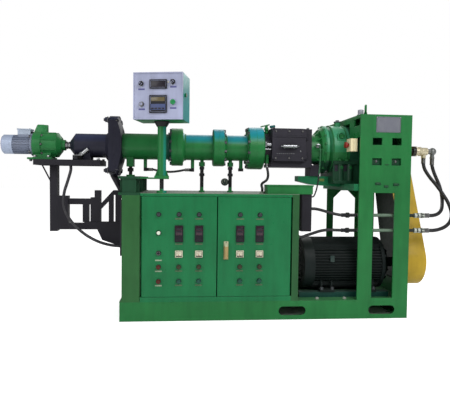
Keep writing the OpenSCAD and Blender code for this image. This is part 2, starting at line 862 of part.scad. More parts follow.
module feed_housing() {
    color(BLACK) difference() {
        union() {
            translate([housing_x, housing_front_y, housing_z0])
                cube([housing_w, housing_back_y - housing_front_y, housing_z1 - housing_z0]);
            on_axis() disc_x(feed_x, housing_x - feed_x + 1, neck_d);
            translate([housing_x + housing_w - 1, -foot_arm_w / 2, foot_arm_z])
                cube([bell_x - housing_x - housing_w + 1, foot_arm_w, foot_arm_h]);
            translate([housing_x - 8, housing_front_y + 12, housing_z0])
                cube([housing_w + 16, housing_back_y - housing_front_y - 24, housing_foot_t]);
            for (z = knuckle_z) hinge_post(z);
        }
        translate([chamber_x, housing_front_y - 1, chamber_z0])
            cube([chamber_w, chamber_y1 - housing_front_y + 1, chamber_h]);
        translate([chamber_x + mouth_in, mouth_y0, axis_h]) cube([chamber_w - 2 * mouth_in, mouth_d, 200]);
    }
}

// The cover's hinge: lugs and pins on the housing, knuckles on the cover
knuckle_d = 16;
knuckle_h = 30;
lug_h = 14;
cover_pin_d = 8;
cover_x = housing_x + 2;
cover_z = axis_h - 82;
cover_back_y = housing_front_y - seat;
cover_hinge_x = cover_x + cover_w + knuckle_d / 2 + 1;
cover_hinge_y = housing_front_y - knuckle_d / 2 - 5;
knuckle_z = [cover_z + 24, cover_z + cover_h - 54];
notch = 12;
groove_h = 9;
groove_z = cover_z + cover_h - 62;
groove_deep = 3;

module hinge_post(z) {
    translate([cover_hinge_x, cover_hinge_y, z - lug_h - seat]) {
        cylinder(h = lug_h, d = knuckle_d);
        translate([-knuckle_d / 2, 0, 0]) cube([knuckle_d, housing_front_y - cover_hinge_y + 1, lug_h]);
        cylinder(h = lug_h + knuckle_h, d = cover_pin_d);
    }
}

module feed_cover() {
    color(BLACK) difference() {
        union() {
            translate([cover_x, cover_back_y - cover_t, cover_z]) cube([cover_w, cover_t, cover_h]);
            for (z = knuckle_z) {
                translate([cover_hinge_x, cover_hinge_y, z]) cylinder(h = knuckle_h, d = knuckle_d);
                translate([cover_x + cover_w - 1, cover_hinge_y - knuckle_d / 2, z])
                    cube([cover_hinge_x - cover_x - cover_w + 1, knuckle_d / 2, knuckle_h]);
            }
        }
        for (z = knuckle_z) translate([cover_hinge_x, cover_hinge_y, z - 1])
            cylinder(h = knuckle_h + 2, d = cover_pin_d + 2 * running);
        for (x = [cover_x - 1, cover_x + cover_w - notch], z = [cover_z - 1, cover_z + cover_h - notch])
            translate([x, cover_back_y - cover_t - 1, z]) cube([notch + 1, notch + 1, notch + 1]);
        translate([cover_x - 1, cover_back_y - cover_t - 1, groove_z])
            cube([cover_w + 2, groove_deep + 1, groove_h]);
    }
}

// Round grip on two stems, with pointed ends
feed_grip_l = 84;
feed_grip_d = 24;
feed_grip_x = cover_x + 64;
feed_grip_z = axis_h + 8;
feed_grip_out = 24;

module feed_handle() {
    color(SILVER) translate([feed_grip_x, cover_back_y - cover_t - feed_grip_out, feed_grip_z]) union() {
        rotate([0, 90, 0]) cylinder(h = feed_grip_l, d = feed_grip_d);
        rotate([0, -90, 0]) cylinder(h = 16, d1 = feed_grip_d - 4, d2 = 8);
        translate([feed_grip_l, 0, 0]) rotate([0, 90, 0]) cylinder(h = 16, d1 = feed_grip_d - 4, d2 = 8);
        for (x = [12, feed_grip_l - 12]) translate([x, 0, 0]) rotate([-90, 0, 0])
            cylinder(h = feed_grip_out, d = 12);
    }
}

// Feed roller on journals between the chamber's walls
roller_d = 70;
journal_d = 30;

module feed_roller() {
    color(SILVER) translate([0, -52, axis_h - 30]) union() {
        disc_x(chamber_x, chamber_w, journal_d);
        disc_x(chamber_x + 6, chamber_w - 12, roller_d);
    }
}

// Clamp bolts of the feed section, along the screw
clamp_y = housing_front_y - 16;

module feed_clamps() {
    color(SILVER) translate([feed_x, clamp_y, axis_h]) {
        translate([0, 0, 19]) rotate([0, 90, 0]) {
            cylinder(h = feed_neck_l - 4, d = 27);
            cylinder(h = 12, d = 36, $fn = 6);
        }
        translate([0, 0, -10]) rotate([0, 90, 0]) cylinder(h = feed_neck_l - 4, d = 12);
    }
}

// Gearbox: a bell on the screw axis and a round case that runs through the tower
tower_x = right_x - tower_w;
bell_x = tower_x - bell_l;
bell_flange_t = 40;
bell_len = 65;
connector_x = bell_x - 26;
connector_z = axis_h + 17;
connector_d = 20;
case_x = bell_x + bell_len;
case_x1 = right_x - tower_wall;
gear_r = 154;
gear_z0 = axis_h - 218;
rib_step = 36;

module gearbox_bell() {
    color(GREEN) on_axis() union() {
        disc_x(housing_x + housing_w, bell_x - housing_x - housing_w + 1, neck_d);
        cone_x(bell_x, 24, 2 * gear_r - 52, 2 * gear_r - 4);
        disc_x(bell_x + 24, bell_flange_t - 24, 2 * gear_r);
        cone_x(bell_x + bell_flange_t, case_x - bell_x - bell_flange_t, 2 * gear_r - 60, 2 * gear_r - 14);
        for (a = [rib_step / 2:rib_step:359]) if (abs(a - 180) > 35) rotate([a, 0, 0])
            translate([bell_x - 26, -4, 0]) rotate([90, 0, 0]) linear_extrude(8)
                polygon([[0, 60], [0, neck_d / 2 + 4], [28, gear_r - 24], [28, 60]]);
        translate([connector_x, 0, connector_z - axis_h]) rotate([90, 0, 0])
            cylinder(h = neck_d / 2 + 30, d = connector_d);
    }
}

// The case: round body on a foot with ledges, an inspection arch, foot bosses and a filler on top
ledge_out = 14;
ledge_z = axis_h - 96;
ledge_t = 18;
arch_w = 52;
arch_h = 55;
arch_x = case_x + 24;
arch_z = axis_h + 49;
arch_out = 147;
boss_d = 40;
boss_x = [case_x + 50, case_x + 108];
filler_x = case_x + 66;
filler_top = 177;

module gearbox_case() {
    l = case_x1 - case_x;
    foot_y = gear_r - ledge_out;
    color(GREEN) difference() {
        union() {
            on_axis() disc_x(case_x, l, 2 * gear_r);
            translate([case_x, -foot_y, gear_z0]) cube([l, 2 * foot_y, axis_h - gear_z0]);
            for (z = [gear_z0, ledge_z]) translate([case_x, -gear_r, z]) cube([l, 2 * gear_r, ledge_t]);
            for (x = boss_x, s = [-1, 1]) translate([x, s * (gear_r - boss_d / 2), gear_z0])
                cylinder(h = ledge_z - gear_z0 + 1, d = boss_d);
            translate([arch_x + arch_w / 2, 0, arch_z + arch_h - arch_w / 2]) rotate([90, 0, 0])
                cylinder(h = arch_out, d = arch_w);
            translate([arch_x, -arch_out, arch_z]) cube([arch_w, arch_out, arch_h - arch_w / 2]);
            on_axis() translate([filler_x, 0, 0]) cylinder(h = filler_top, d = boss_d);
        }
        translate([arch_x + arch_w / 2, 0, arch_z + arch_h - arch_w / 2]) rotate([90, 0, 0])
            cylinder(h = arch_out + 1, d = arch_w - 16);
    }
}

// Shelf under the gearbox, with a tapered arm that reaches under the feed section
shelf_x = tower_x - 31;
shelf_t = 40;
arm_x = tower_x - 303;
arm_w = 100;
arm_z = axis_h - 207;

module gearbox_shelf() {
    color(GREEN) union() {
        translate([shelf_x, front_y + tower_wall, gear_z0 - shelf_t])
            cube([case_x1 - shelf_x, base_depth - 2 * tower_wall, shelf_t]);
        translate([0, arm_w / 2, 0]) rotate([90, 0, 0]) linear_extrude(arm_w)
            polygon([[arm_x, arm_z + 34], [case_x - 1, arm_z + 34], [case_x - 1, gear_z0],
                [shelf_x + 1, gear_z0], [shelf_x + 1, gear_z0 - 22], [arm_x + 90, gear_z0 - 10], [arm_x, arm_z]]);
    }
}

// Tower: front and rear plates with windows, side rails and a top plate
tower_h = tower_top_z - tower_wall - deck_z;
side_top_z = tower_top_z - tower_wall;
side_rail_h = 26;
side_panel_z = axis_h + 60;
side_panel_w = 180;
side_stile_w = 90;
side_hole_w = 100;
side_hole_h = 42;
window_top_z = gear_z0 - shelf_t - window_lintel;
window_sill = 11;
window_right_w = 95;
square_hole = 58;
square_hole_h = 42;
hole_x = [tower_x + 75, tower_x + 194];
hole_z = [axis_h - 106, axis_h + 14];
rear_window_x = tower_x + 47;
rear_window_w = 162;
corner_cut = 55;

module tower_front() {
    window_w = tower_w - stile_tower_w - window_right_w;
    color(GREEN) difference() {
        translate([tower_x, front_y, deck_z]) cube([tower_w, tower_wall, tower_h]);
        translate([tower_x + stile_tower_w, front_y - 1, deck_z + window_sill])
            cube([window_w, tower_wall + 2, window_top_z - deck_z - window_sill]);
        for (x = hole_x) for (z = hole_z)
            translate([x, front_y - 1, z]) cube([square_hole, tower_wall + 2, square_hole_h]);
    }
}

// The rear window's upper corners are cut off at a slant
module tower_rear() {
    h = window_top_z - deck_z - window_sill;
    color(GREEN) difference() {
        translate([tower_x, back_y - tower_wall, deck_z]) cube([tower_w, tower_wall, tower_h]);
        translate([rear_window_x, back_y + 1, deck_z + window_sill]) rotate([90, 0, 0])
            linear_extrude(tower_wall + 2)
                polygon([[0, 0], [rear_window_w, 0], [rear_window_w, h - corner_cut],
                    [rear_window_w - corner_cut, h], [corner_cut, h], [0, h - corner_cut]]);
    }
}

module tower_sides() {
    d = base_depth - 2 * tower_wall;
    color(GREEN) {
        difference() {
            translate([tower_x, front_y + tower_wall, 0]) union() {
                translate([0, 0, side_top_z - side_rail_h]) cube([tower_wall, d, side_rail_h]);
                translate([0, 0, side_panel_z]) cube([tower_wall, side_panel_w, side_top_z - side_panel_z]);
            }
            translate([tower_x - 1, front_y + tower_wall + 5, side_top_z - side_rail_h - side_hole_h + 15])
                cube([tower_wall + 2, side_hole_w, side_hole_h]);
            on_axis() disc_x(tower_x - 1, tower_wall + 2, 2 * gear_r + 2);
        }
        translate([right_x - tower_wall, front_y + tower_wall, 0]) difference() {
            translate([0, 0, deck_z]) cube([tower_wall, d, side_top_z - deck_z]);
            translate([-1, side_stile_w, deck_z + side_stile_w])
                cube([tower_wall + 2, d - 2 * side_stile_w, gear_z0 - shelf_t - deck_z - side_stile_w]);
            for (z = pipe_z) translate([-1, pipe_y - front_y - tower_wall, z]) rotate([0, 90, 0])
                cylinder(h = tower_wall + 2, d = pipe_d + 2 * seat);
        }
    }
}

module tower_top() {
    color(GREEN) translate([tower_x, front_y, tower_top_z - tower_wall])
        cube([tower_w, base_depth, tower_wall]);
}

eye_x = tower_x + 73;
eye_y = front_y + 120;
eye_r = 22;
eye_turn = 69;

module lifting_eye() {
    color(DARK_GREEN) translate([eye_x, eye_y, tower_top_z]) union() {
        cylinder(h = 12, d = 2 * eye_r + 2);
        cylinder(h = 26, d = 20);
        translate([0, 0, 2 * eye_r + 2]) rotate([90, 0, eye_turn]) rotate_extrude() translate([eye_r, 0])
            circle(7, $fn = 24);
    }
}

// Main motor: a finned frame between a fan cowl with a grille and a ribbed end bell
motor_y = front_y + 220;
motor_z = deck_z + 193;
motor_x = right_x - 555;
fin_t = 4;
fin_out = 13;
fin_span = 198;
cowl_main_l = 60;
cowl_main_d = motor_d + 22;
cowl_wall = 3;
bell_end_l = 50;
shaft_main_d = 60;
foot_w = 60;
foot_l = 90;
foot_plate_t = 14;
grille_rings = [36, 62, 88, 114];
grille_gap = 12;
spoke_w = 12;
end_ribs = 12;
rail_top_z = motor_z - motor_d / 2 - fin_out;
rail_w = 50;
rail_y = [motor_y - 140, motor_y + 90];
box_side_l = 150;
box_side_h = 110;

// Ring slots through the cowl's end, left open between six spokes
module grille_slots() {
    difference() {
        for (r = grille_rings) difference() {
            disc_x(motor_x - cowl_main_l - 1, cowl_wall + 1, 2 * r + grille_gap);
            disc_x(motor_x - cowl_main_l - 2, cowl_wall + 3, 2 * r - grille_gap);
        }
        for (a = [0:60:120]) rotate([a, 0, 0])
            translate([motor_x - cowl_main_l - 3, -motor_d / 2, -spoke_w / 2])
                cube([cowl_wall + 5, motor_d, spoke_w]);
    }
}

module main_motor() {
    frame_end = motor_x + motor_frame_l;
    color(BLACK) translate([0, motor_y, motor_z]) {
        difference() {
            union() {
                disc_x(motor_x, motor_frame_l, motor_d);
                intersection() {
                    disc_x(motor_x + 4, motor_frame_l - 12, motor_d + 2 * fin_out);
                    for (i = [0:motor_fins - 1]) {
                        v = -fin_span / 2 + i * fin_span / (motor_fins - 1);
                        for (a = [0, 90]) rotate([a, 0, 0]) translate([motor_x, -motor_d, v - fin_t / 2])
                            cube([motor_frame_l, 2 * motor_d, fin_t]);
                    }
                }
                disc_x(motor_x - cowl_main_l, cowl_main_l + 6, cowl_main_d);
                disc_x(frame_end - 8, 20, motor_d + 2 * fin_out);
                cone_x(frame_end + 11, bell_end_l - 11, motor_d, motor_d - 90);
                for (i = [0:end_ribs - 1]) rotate([(i + 0.5) * 360 / end_ribs, 0, 0])
                    translate([frame_end + 11, 3, 0]) rotate([90, 0, 0]) linear_extrude(6)
                        polygon([[0, 40], [0, motor_d / 2], [bell_end_l - 12, motor_d / 2 - 30],
                            [bell_end_l - 12, 40]]);
                translate([motor_x + 120, 100, -20]) cube([box_side_l, 82, box_side_h]);
            }
            disc_x(motor_x - cowl_main_l + cowl_wall, cowl_main_l - cowl_wall - 8,
                cowl_main_d - 2 * cowl_wall);
            grille_slots();
            translate([motor_x - cowl_main_l - 1, -motor_d, -motor_d - motor_d / 2 - fin_out])
                cube([motor_frame_l + 200, 2 * motor_d, motor_d]);
        }
        disc_x(frame_end + bell_end_l - 1, right_x - frame_end - bell_end_l + 1, shaft_main_d);
        for (x = [motor_x + 40, frame_end - 40 - foot_l], s = [-1, 1])
            translate([x, s * 115 - foot_w / 2, -motor_d / 2 - fin_out]) union() {
                cube([foot_l, foot_w, foot_plate_t]);
                for (u = [8, foot_l - 18]) translate([u, s < 0 ? 20 : 0, 0]) cube([10, foot_w - 20, 70]);
            }
    }
}

module motor_rails() {
    color(BLACK) for (y = rail_y) translate([motor_x - 90, y, deck_z]) difference() {
        cube([motor_frame_l + 130, rail_w, rail_top_z - deck_z]);
        translate([-1, rail_wall, rail_wall])
            cube([motor_frame_l + 132, rail_w, rail_top_z - deck_z - 2 * rail_wall]);
    }
}

// Belt guard on the tower's right side, from the motor shaft up to the gearbox shaft
guard_x = right_x;
guard_up_y = 150;
guard_up_z = axis_h - 63;
guard_low_z = motor_z + 13;
guard_lip = 9;
guard_lip_t = 6;
guard_rim = 10;
guard_face_in = 16;

// The guard's outline about its two shafts, grown by a margin
module guard_outline(grow) {
    hull() {
        translate([motor_y, guard_low_z]) circle(guard_low_r + grow, $fn = 48);
        translate([guard_up_y, guard_up_z]) circle(guard_up_r + grow, $fn = 48);
    }
}

module belt_guard() {
    color(YELLOW) translate([guard_x, 0, 0]) rotate([90, 0, 90]) {
        linear_extrude(guard_lip_t) guard_outline(guard_lip);
        linear_extrude(guard_w - guard_rim) guard_outline(0);
        linear_extrude(guard_w) guard_outline(-guard_face_in);
        translate([0, 0, guard_w / 2 - 3]) linear_extrude(6) guard_outline(4);
    }
}

// Rotary union at the screw's rear end
union_neck_l = 160;
union_end_l = 300;
elbow_ball_d = 50;
union_nut_h = 13;
outlet_d = 26;
outlet_l = 42;

module rotary_union() {
    color(BRASS) on_axis() union() {
        disc_x(right_x, union_neck_l, 38);
        disc_x(right_x, 14, 78);
        disc_x(right_x + union_neck_l - 2, 30, 66);
        disc_x(right_x + 187, 74, 50);
        translate([right_x + 204, 0, 0]) rotate([0, 90, 0]) cylinder(h = 18, d = 60, $fn = 6);
        disc_x(right_x + 260, 30, 34);
        translate([right_x + union_end_l, 0, 0]) sphere(d = elbow_ball_d);
        for (p = [[union_end_l, 52], [union_end_l - 60, 45]]) translate([right_x + p[0], 0, -p[1]]) {
            cylinder(h = outlet_l, d = outlet_d);
            translate([0, 0, 4]) cylinder(h = union_nut_h, d = outlet_d + 8, $fn = 6);
        }
    }
}

// Stop station on a plate that hangs from the tower's side panel
station_z = axis_h - 23;
station_w = 70;
station_h = 76;
station_d = 40;
station_back = 4;

module stop_station() {
    color("#e8dcae") translate([tower_x, front_y + 40, station_z]) union() {
        translate([-station_d - station_back, 0, 0]) difference() {
            cube([station_d, station_w, station_h]);
            translate([14, -1, -1]) cube([2, 3, station_h + 2]);
        }
        translate([-station_back, 5, 0]) cube([station_back, station_w - 10, side_panel_z - station_z + 30]);
        translate([-station_d - station_back - 24, station_w / 2, station_h / 2]) rotate([0, 90, 0]) {
            cylinder(h = 10, d = 36);
            cylinder(h = 26, d = 22);
        }
    }
}

// Tray on the cabinet, with a junction box under its free end
junction_w = 62;
junction_x = cabinet_right_x + 22;
junction_h = 222;
tray_x = cabinet_right_x - 185;
tray_y = front_y + 30;
tray_h = 54;
tray_w = 120;
tray_l = junction_x + junction_w + 3 - tray_x;
tray_lip = 4;

module cable_tray() {
    color(GREEN) translate([tray_x, tray_y, cabinet_top_z]) union() {
        cube([tray_l, tray_w, tray_h - 3]);
        translate([0, -tray_lip, tray_h - 8]) cube([tray_l + tray_lip, tray_w + 2 * tray_lip, 8]);
    }
}

module junction_box() {
    color(BLACK) translate([junction_x, tray_y + 10, cabinet_top_z - junction_h]) union() {
        cube([junction_w, 100, junction_h]);
        translate([4, -4, 6]) cube([junction_w - 8, 5, junction_h - 40]);
    }
}

// Water pipes and fittings: each stands up into the barrel's lower side
riser_x = [barrel3_x - 140, barrel3_x + 42];
elbow_x = [barrel_x + 159, barrel_x + 457];
elbow_z = axis_h - 143;
elbow_out = 20;
riser_d = 23;
nut_d = 38;
nut_z = axis_h - 118;
drain_x = flange3_x - 38;
drain_z = axis_h - 148;
valve_x = feed_x + 26;
valve_top = 150;
lever_l = 58;
feed_elbow_x = feed_x + 21;
feed_elbow_y = -75;
feed_elbow_z = axis_h - 98;

module riser(x, z, d, y = 0) {
    translate([x, y, z]) cylinder(h = axis_h - z, d = d);
}

module water_pipes() {
    color(GREEN) difference() {
        union() {
            for (x = riser_x) {
                riser(x, cabinet_top_z, riser_d);
                translate([x, 0, nut_z]) cylinder(h = 26, d = nut_d, $fn = 6);
                translate([x, 0, cabinet_top_z]) cylinder(h = 10, d = nut_d);
            }
            riser(drain_x, drain_z, 24);
            translate([drain_x, 0, drain_z]) cylinder(h = 20, d = 34, $fn = 6);
            for (i = [0, 1]) {
                riser(elbow_x[i], elbow_z - 11, 22);
                translate([elbow_x[i], 0, elbow_z]) rotate([0, i == 0 ? 90 : -90, 0])
                    cylinder(h = elbow_out, d = 20);
            }
        }
        on_axis() disc_x(barrel_x, feed_x - barrel_x, barrel_d + 2 * seat);
    }
    color(GREEN) difference() {
        union() {
            riser(feed_elbow_x, feed_elbow_z, 22, feed_elbow_y);
            translate([valve_x, 0, axis_h]) {
                cylinder(h = valve_top, d = 18);
                translate([0, 0, valve_top - 24]) sphere(d = 30);
                translate([0, 0, neck_d / 2 + 2]) cylinder(h = 14, d = 30, $fn = 6);
                translate([-lever_l + 22, -9, valve_top - 13]) rotate([0, -14, 0]) cube([lever_l, 18, 7]);
            }
        }
        on_axis() disc_x(feed_x, housing_x - feed_x, neck_d + 2 * seat);
    }
}

// Gauge on a stem from the second riser, its face to the front
gauge_d = 46;
gauge_t = 24;
gauge_z = cabinet_top_z + 66;
gauge_x = riser_x[1] - 40;
gauge_stem = 48;

module pressure_gauge() {
    color(BLACK) difference() {
        union() {
            translate([gauge_x, 0, gauge_z]) rotate([0, 90, 0]) cylinder(h = riser_x[1] - gauge_x, d = 12);
            translate([gauge_x, 9, gauge_z]) rotate([90, 0, 0]) cylinder(h = gauge_stem + 9, d = 16);
            translate([gauge_x, -gauge_stem + 1, gauge_z]) rotate([90, 0, 0])
                cylinder(h = gauge_t, d = gauge_d);
        }
        riser(riser_x[1], cabinet_top_z, riser_d + 2 * seat);
        translate([gauge_x, -gauge_stem - gauge_t + 4, gauge_z]) rotate([90, 0, 0])
            cylinder(h = 4, d = gauge_d - 8);
    }
}

pipe_z = [deck_z + 415, deck_z + 506];
pipe_y = front_y + 32;
pipe_d = 20;
pipe_nut_d = 32;
pipe_x = tower_x - 71;
pipe_l = right_x - pipe_x + 105;

module tower_pipes() {
    color(GREEN) for (z = pipe_z) translate([pipe_x, pipe_y, z]) rotate([0, 90, 0]) {
        cylinder(h = pipe_l, d = pipe_d);
        for (u = [4, pipe_l - 24]) translate([0, 0, u]) cylinder(h = 20, d = pipe_nut_d, $fn = 6);
    }
}

// Cords: points of each route, swept as a plain tube
function unit(v) = v / norm(v);
function tangent(p, i) = unit(p[min(i + 1, len(p) - 1)] - p[max(i - 1, 0)]);
function turned(a, t) = unit(a - (a * t) * t);
// The side vector at each point, carried along the route without a twist
function sides_along(p, i = 0, a = [0.3, 1, 0.2]) = i == len(p) ? [] :
    let(b = turned(a, tangent(p, i))) concat([b], sides_along(p, i + 1, b));
function ring(c, t, a, r, n) = let(b = cross(t, a))
    [for (k = [0:n - 1]) c + r * (cos(360 * k / n) * a + sin(360 * k / n) * b)];

module cord(route, d, n = 8) {
    m = len(route);
    side = sides_along(route);
    pts = [for (i = [0:m - 1]) each ring(route[i], tangent(route, i), side[i], d / 2, n)];
    walls = [for (i = [0:m - 2], k = [0:n - 1])
        [i * n + k, (i + 1) * n + k, (i + 1) * n + (k + 1) % n, i * n + (k + 1) % n]];
    polyhedron(pts, concat([[for (k = [0:n - 1]) k]], walls, [[for (k = [0:n - 1]) m * n - 1 - k]]));
}

hose_upper_route = [[1155, 0, 971], [1155, 0, 940], [1164, -3, 900], [1180, -9, 855], [1196, -20, 810],
    [1203, -38, 762], [1194, -70, 718], [1174, -110, 682], [1144, -158, 652], [1104, -208, 633],
    [1060, -250, 622], [1020, -278, 618], [990, -288, 618], [960, -288, 618]];
hose_lower_route = [[1095, 0, 978], [1095, 0, 948], [1104, -6, 905], [1128, -26, 855], [1160, -58, 800],
    [1186, -96, 742], [1203, -134, 684], [1200, -176, 628], [1174, -214, 584], [1130, -246, 553],
    [1078, -272, 536], [1030, -286, 528], [990, -288, 527], [960, -288, 527]];
tower_upper_route = [[470, -288, 618], [448, -288, 618], [415, -287, 623], [380, -284, 631], [345, -278, 641],
    [315, -270, 649], [290, -264, 653], [267, -264, 653]];
tower_lower_route = [[470, -288, 527], [448, -288, 527], [412, -288, 528], [375, -287, 529], [340, -285, 526],
    [305, -281, 517], [272, -277, 505], [240, -274, 494], [215, -273, 485], [195, -273, 485]];
jumper_route = [[-716, 0, 880], [-690, 0, 880], [-655, 0, 873], [-610, 0, 867], [-565, 0, 867],
    [-520, 0, 873], [-484, 0, 880], [-458, 0, 880]];
conduit_route = [[-1180, -75, 897], [-1180, -75, 868], [-1197, -83, 800], [-1216, -90, 730],
    [-1219, -94, 660], [-1195, -96, 590], [-1145, -97, 525], [-1080, -97, 470], [-1010, -95, 432],
    [-945, -92, 412], [-890, -90, 405], [-853, -90, 405]];
feed_cable_route = [[345, -125, 1040], [345, -140, 1040], [346, -157, 1026], [347, -165, 1000],
    [345, -168, 950], [341, -173, 900], [333, -185, 845], [320, -204, 790], [306, -220, 752],
    [289, -230, 725], [267, -230, 725]];
feed_hose_route = [[30, -75, 925], [30, -75, 903], [34, -86, 872], [32, -105, 846], [20, -128, 822],
    [-10, -152, 802], [-20, -178, 788], [-19, -200, 772], [-19, -200, 752]];

module union_hose_upper() {
    color(BLACK) cord(hose_upper_route, 22);
}

module union_hose_lower() {
    color(BLACK) cord(hose_lower_route, 22);
}

module tower_hose_upper() {
    color(BLACK) cord(tower_upper_route, 18);
}

module tower_hose_lower() {
    color(BLACK) cord(tower_lower_route, 18);
}

module jumper_hose() {
    color(BLACK) cord(jumper_route, 14);
}

module head_conduit() {
    color(BLACK) cord(conduit_route, 18);
}

module feed_cable() {
    color(BLACK) cord(feed_cable_route, 9);
}

module feed_hose() {
    color(BLACK) cord(feed_hose_route, 16);
}

base_front_rail();
base_rear_rail();
base_end_rails();
base_cross_members();
base_deck();
support_columns();
column_head();
barrel_support();
cabinet_body();
cabinet_door_left();
cabinet_door_right();
left_door_controls();
right_door_controls();
door_handle();
control_box();
control_panel();
control_post();
barrel_front();
barrel_middle();
barrel_rear();
head_body();
head_clamp();
head_sensor();
drive_shaft();
head_reducer();
head_motor();
motor_table();
side_frame();
feed_housing();
feed_cover();
feed_handle();
feed_roller();
feed_clamps();
gearbox_bell();
gearbox_case();
gearbox_shelf();
tower_front();
tower_rear();
tower_sides();
tower_top();
lifting_eye();
main_motor();
motor_rails();
belt_guard();
rotary_union();
stop_station();
cable_tray();
junction_box();
water_pipes();
pressure_gauge();
tower_pipes();
union_hose_upper();
union_hose_lower();
tower_hose_upper();
tower_hose_lower();
jumper_hose();
head_conduit();
feed_cable();
feed_hose();
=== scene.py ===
"""Rubber extruder: finish, fittings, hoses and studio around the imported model."""
import math

import bmesh
import bpy
from mathutils import Matrix, Vector


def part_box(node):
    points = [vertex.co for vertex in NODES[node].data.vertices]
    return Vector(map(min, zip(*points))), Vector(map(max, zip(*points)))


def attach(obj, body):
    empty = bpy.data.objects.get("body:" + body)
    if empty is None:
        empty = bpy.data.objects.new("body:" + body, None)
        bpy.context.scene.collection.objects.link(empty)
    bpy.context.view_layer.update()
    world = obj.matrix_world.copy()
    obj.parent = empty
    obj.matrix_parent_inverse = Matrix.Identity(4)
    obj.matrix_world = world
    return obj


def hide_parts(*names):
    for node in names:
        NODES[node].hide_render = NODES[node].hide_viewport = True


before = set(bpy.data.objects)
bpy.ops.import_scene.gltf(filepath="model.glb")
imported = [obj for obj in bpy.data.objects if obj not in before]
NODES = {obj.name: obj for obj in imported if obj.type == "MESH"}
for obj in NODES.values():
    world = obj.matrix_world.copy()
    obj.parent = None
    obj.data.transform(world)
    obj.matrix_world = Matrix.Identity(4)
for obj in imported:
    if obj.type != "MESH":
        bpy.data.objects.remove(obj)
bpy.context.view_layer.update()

bl_info = {
    "name": "Rubber extruder dressing",
    "version": (1, 0, 0),
    "blender": (4, 5, 0),
    "location": "View3D > Sidebar > Extruder",
    "description": "Finishes, fittings, hoses and a plain studio for a rubber extruder",
    "category": "Object",
}

MM = 0.001
X = Vector((1, 0, 0))
Y = Vector((0, 1, 0))
Z = Vector((0, 0, 1))
FRAME_BODY = "frame"
LEFT_DOOR = "left_door"
RIGHT_DOOR = "right_door"
COVER = "cover"

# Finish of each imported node
NODE_FINISH = {
    "green": ["base_front_rail", "base_rear_rail", "base_end_rails", "base_cross_members", "base_deck",
              "head_reducer", "tower_front", "tower_rear", "tower_sides", "tower_top", "cable_tray",
              "lifting_eye"],
    "shelf_green": ["gearbox_shelf"],
    "olive_green": ["support_columns"],
    "jack_green": ["barrel_support"],
    "post_green": ["control_post"],
    "riser_green": ["water_pipes"],
    "pipe_green": ["tower_pipes"],
    "body_green": ["cabinet_body"],
    "box_green": ["control_box"],
    "cabinet_green": ["cabinet_door_left", "cabinet_door_right"],
    "barrel_green": ["barrel_front"],
    "painted_sheen_green": ["barrel_middle", "barrel_rear"],
    "gear_green": ["gearbox_bell", "gearbox_case"],
    "dark_green": ["column_head"],
    "head_black": ["head_body", "head_clamp"],
    "frame_black": ["motor_table", "side_frame", "junction_box"],
    "cover_black": ["feed_housing", "feed_cover", "pressure_gauge"],
    "motor_black": ["main_motor"],
    "rail_green": ["motor_rails"],
    "panel_grey": ["control_panel"],
    "control_black": ["left_door_controls", "right_door_controls"],
    "steel": ["drive_shaft", "feed_roller"],
    "sensor_steel": ["head_sensor"],
    "chrome": ["feed_handle", "feed_clamps"],
    "cast_aluminium": ["head_motor"],
    "guard_yellow": ["belt_guard"],
    "union_brass": ["rotary_union"],
    "handle_tan": ["door_handle"],
    "station_cream": ["stop_station"],
}

# Places on the cabinet doors, in millimetres: columns from the left, rows from the floor
DOOR_Y = -320
SWITCH_COLUMN = -634
LEFT_COLUMNS = (-518, -403)
RIGHT_COLUMNS = (-165, -50)
LAMP_ROW = 619
SWITCH_ROWS = (619, 513, 396)
CONTROLLER_ROW = 508
METER_ROW = 391
BUTTON_ROWS = (316, 233)
HANDLE = (-246, 412)

# The control box: its turned corner, and the middles of its fittings along and up its panel
BOX_PLACE = (Matrix.Translation((-0.620, -0.290, 1.150)) @ Matrix.Rotation(math.radians(-12.0), 4, "Z")
             @ Matrix.Translation((-0.140, -0.0975, 0.0)))
AXIS_Z = 1023
HEAD_FLAT = 104

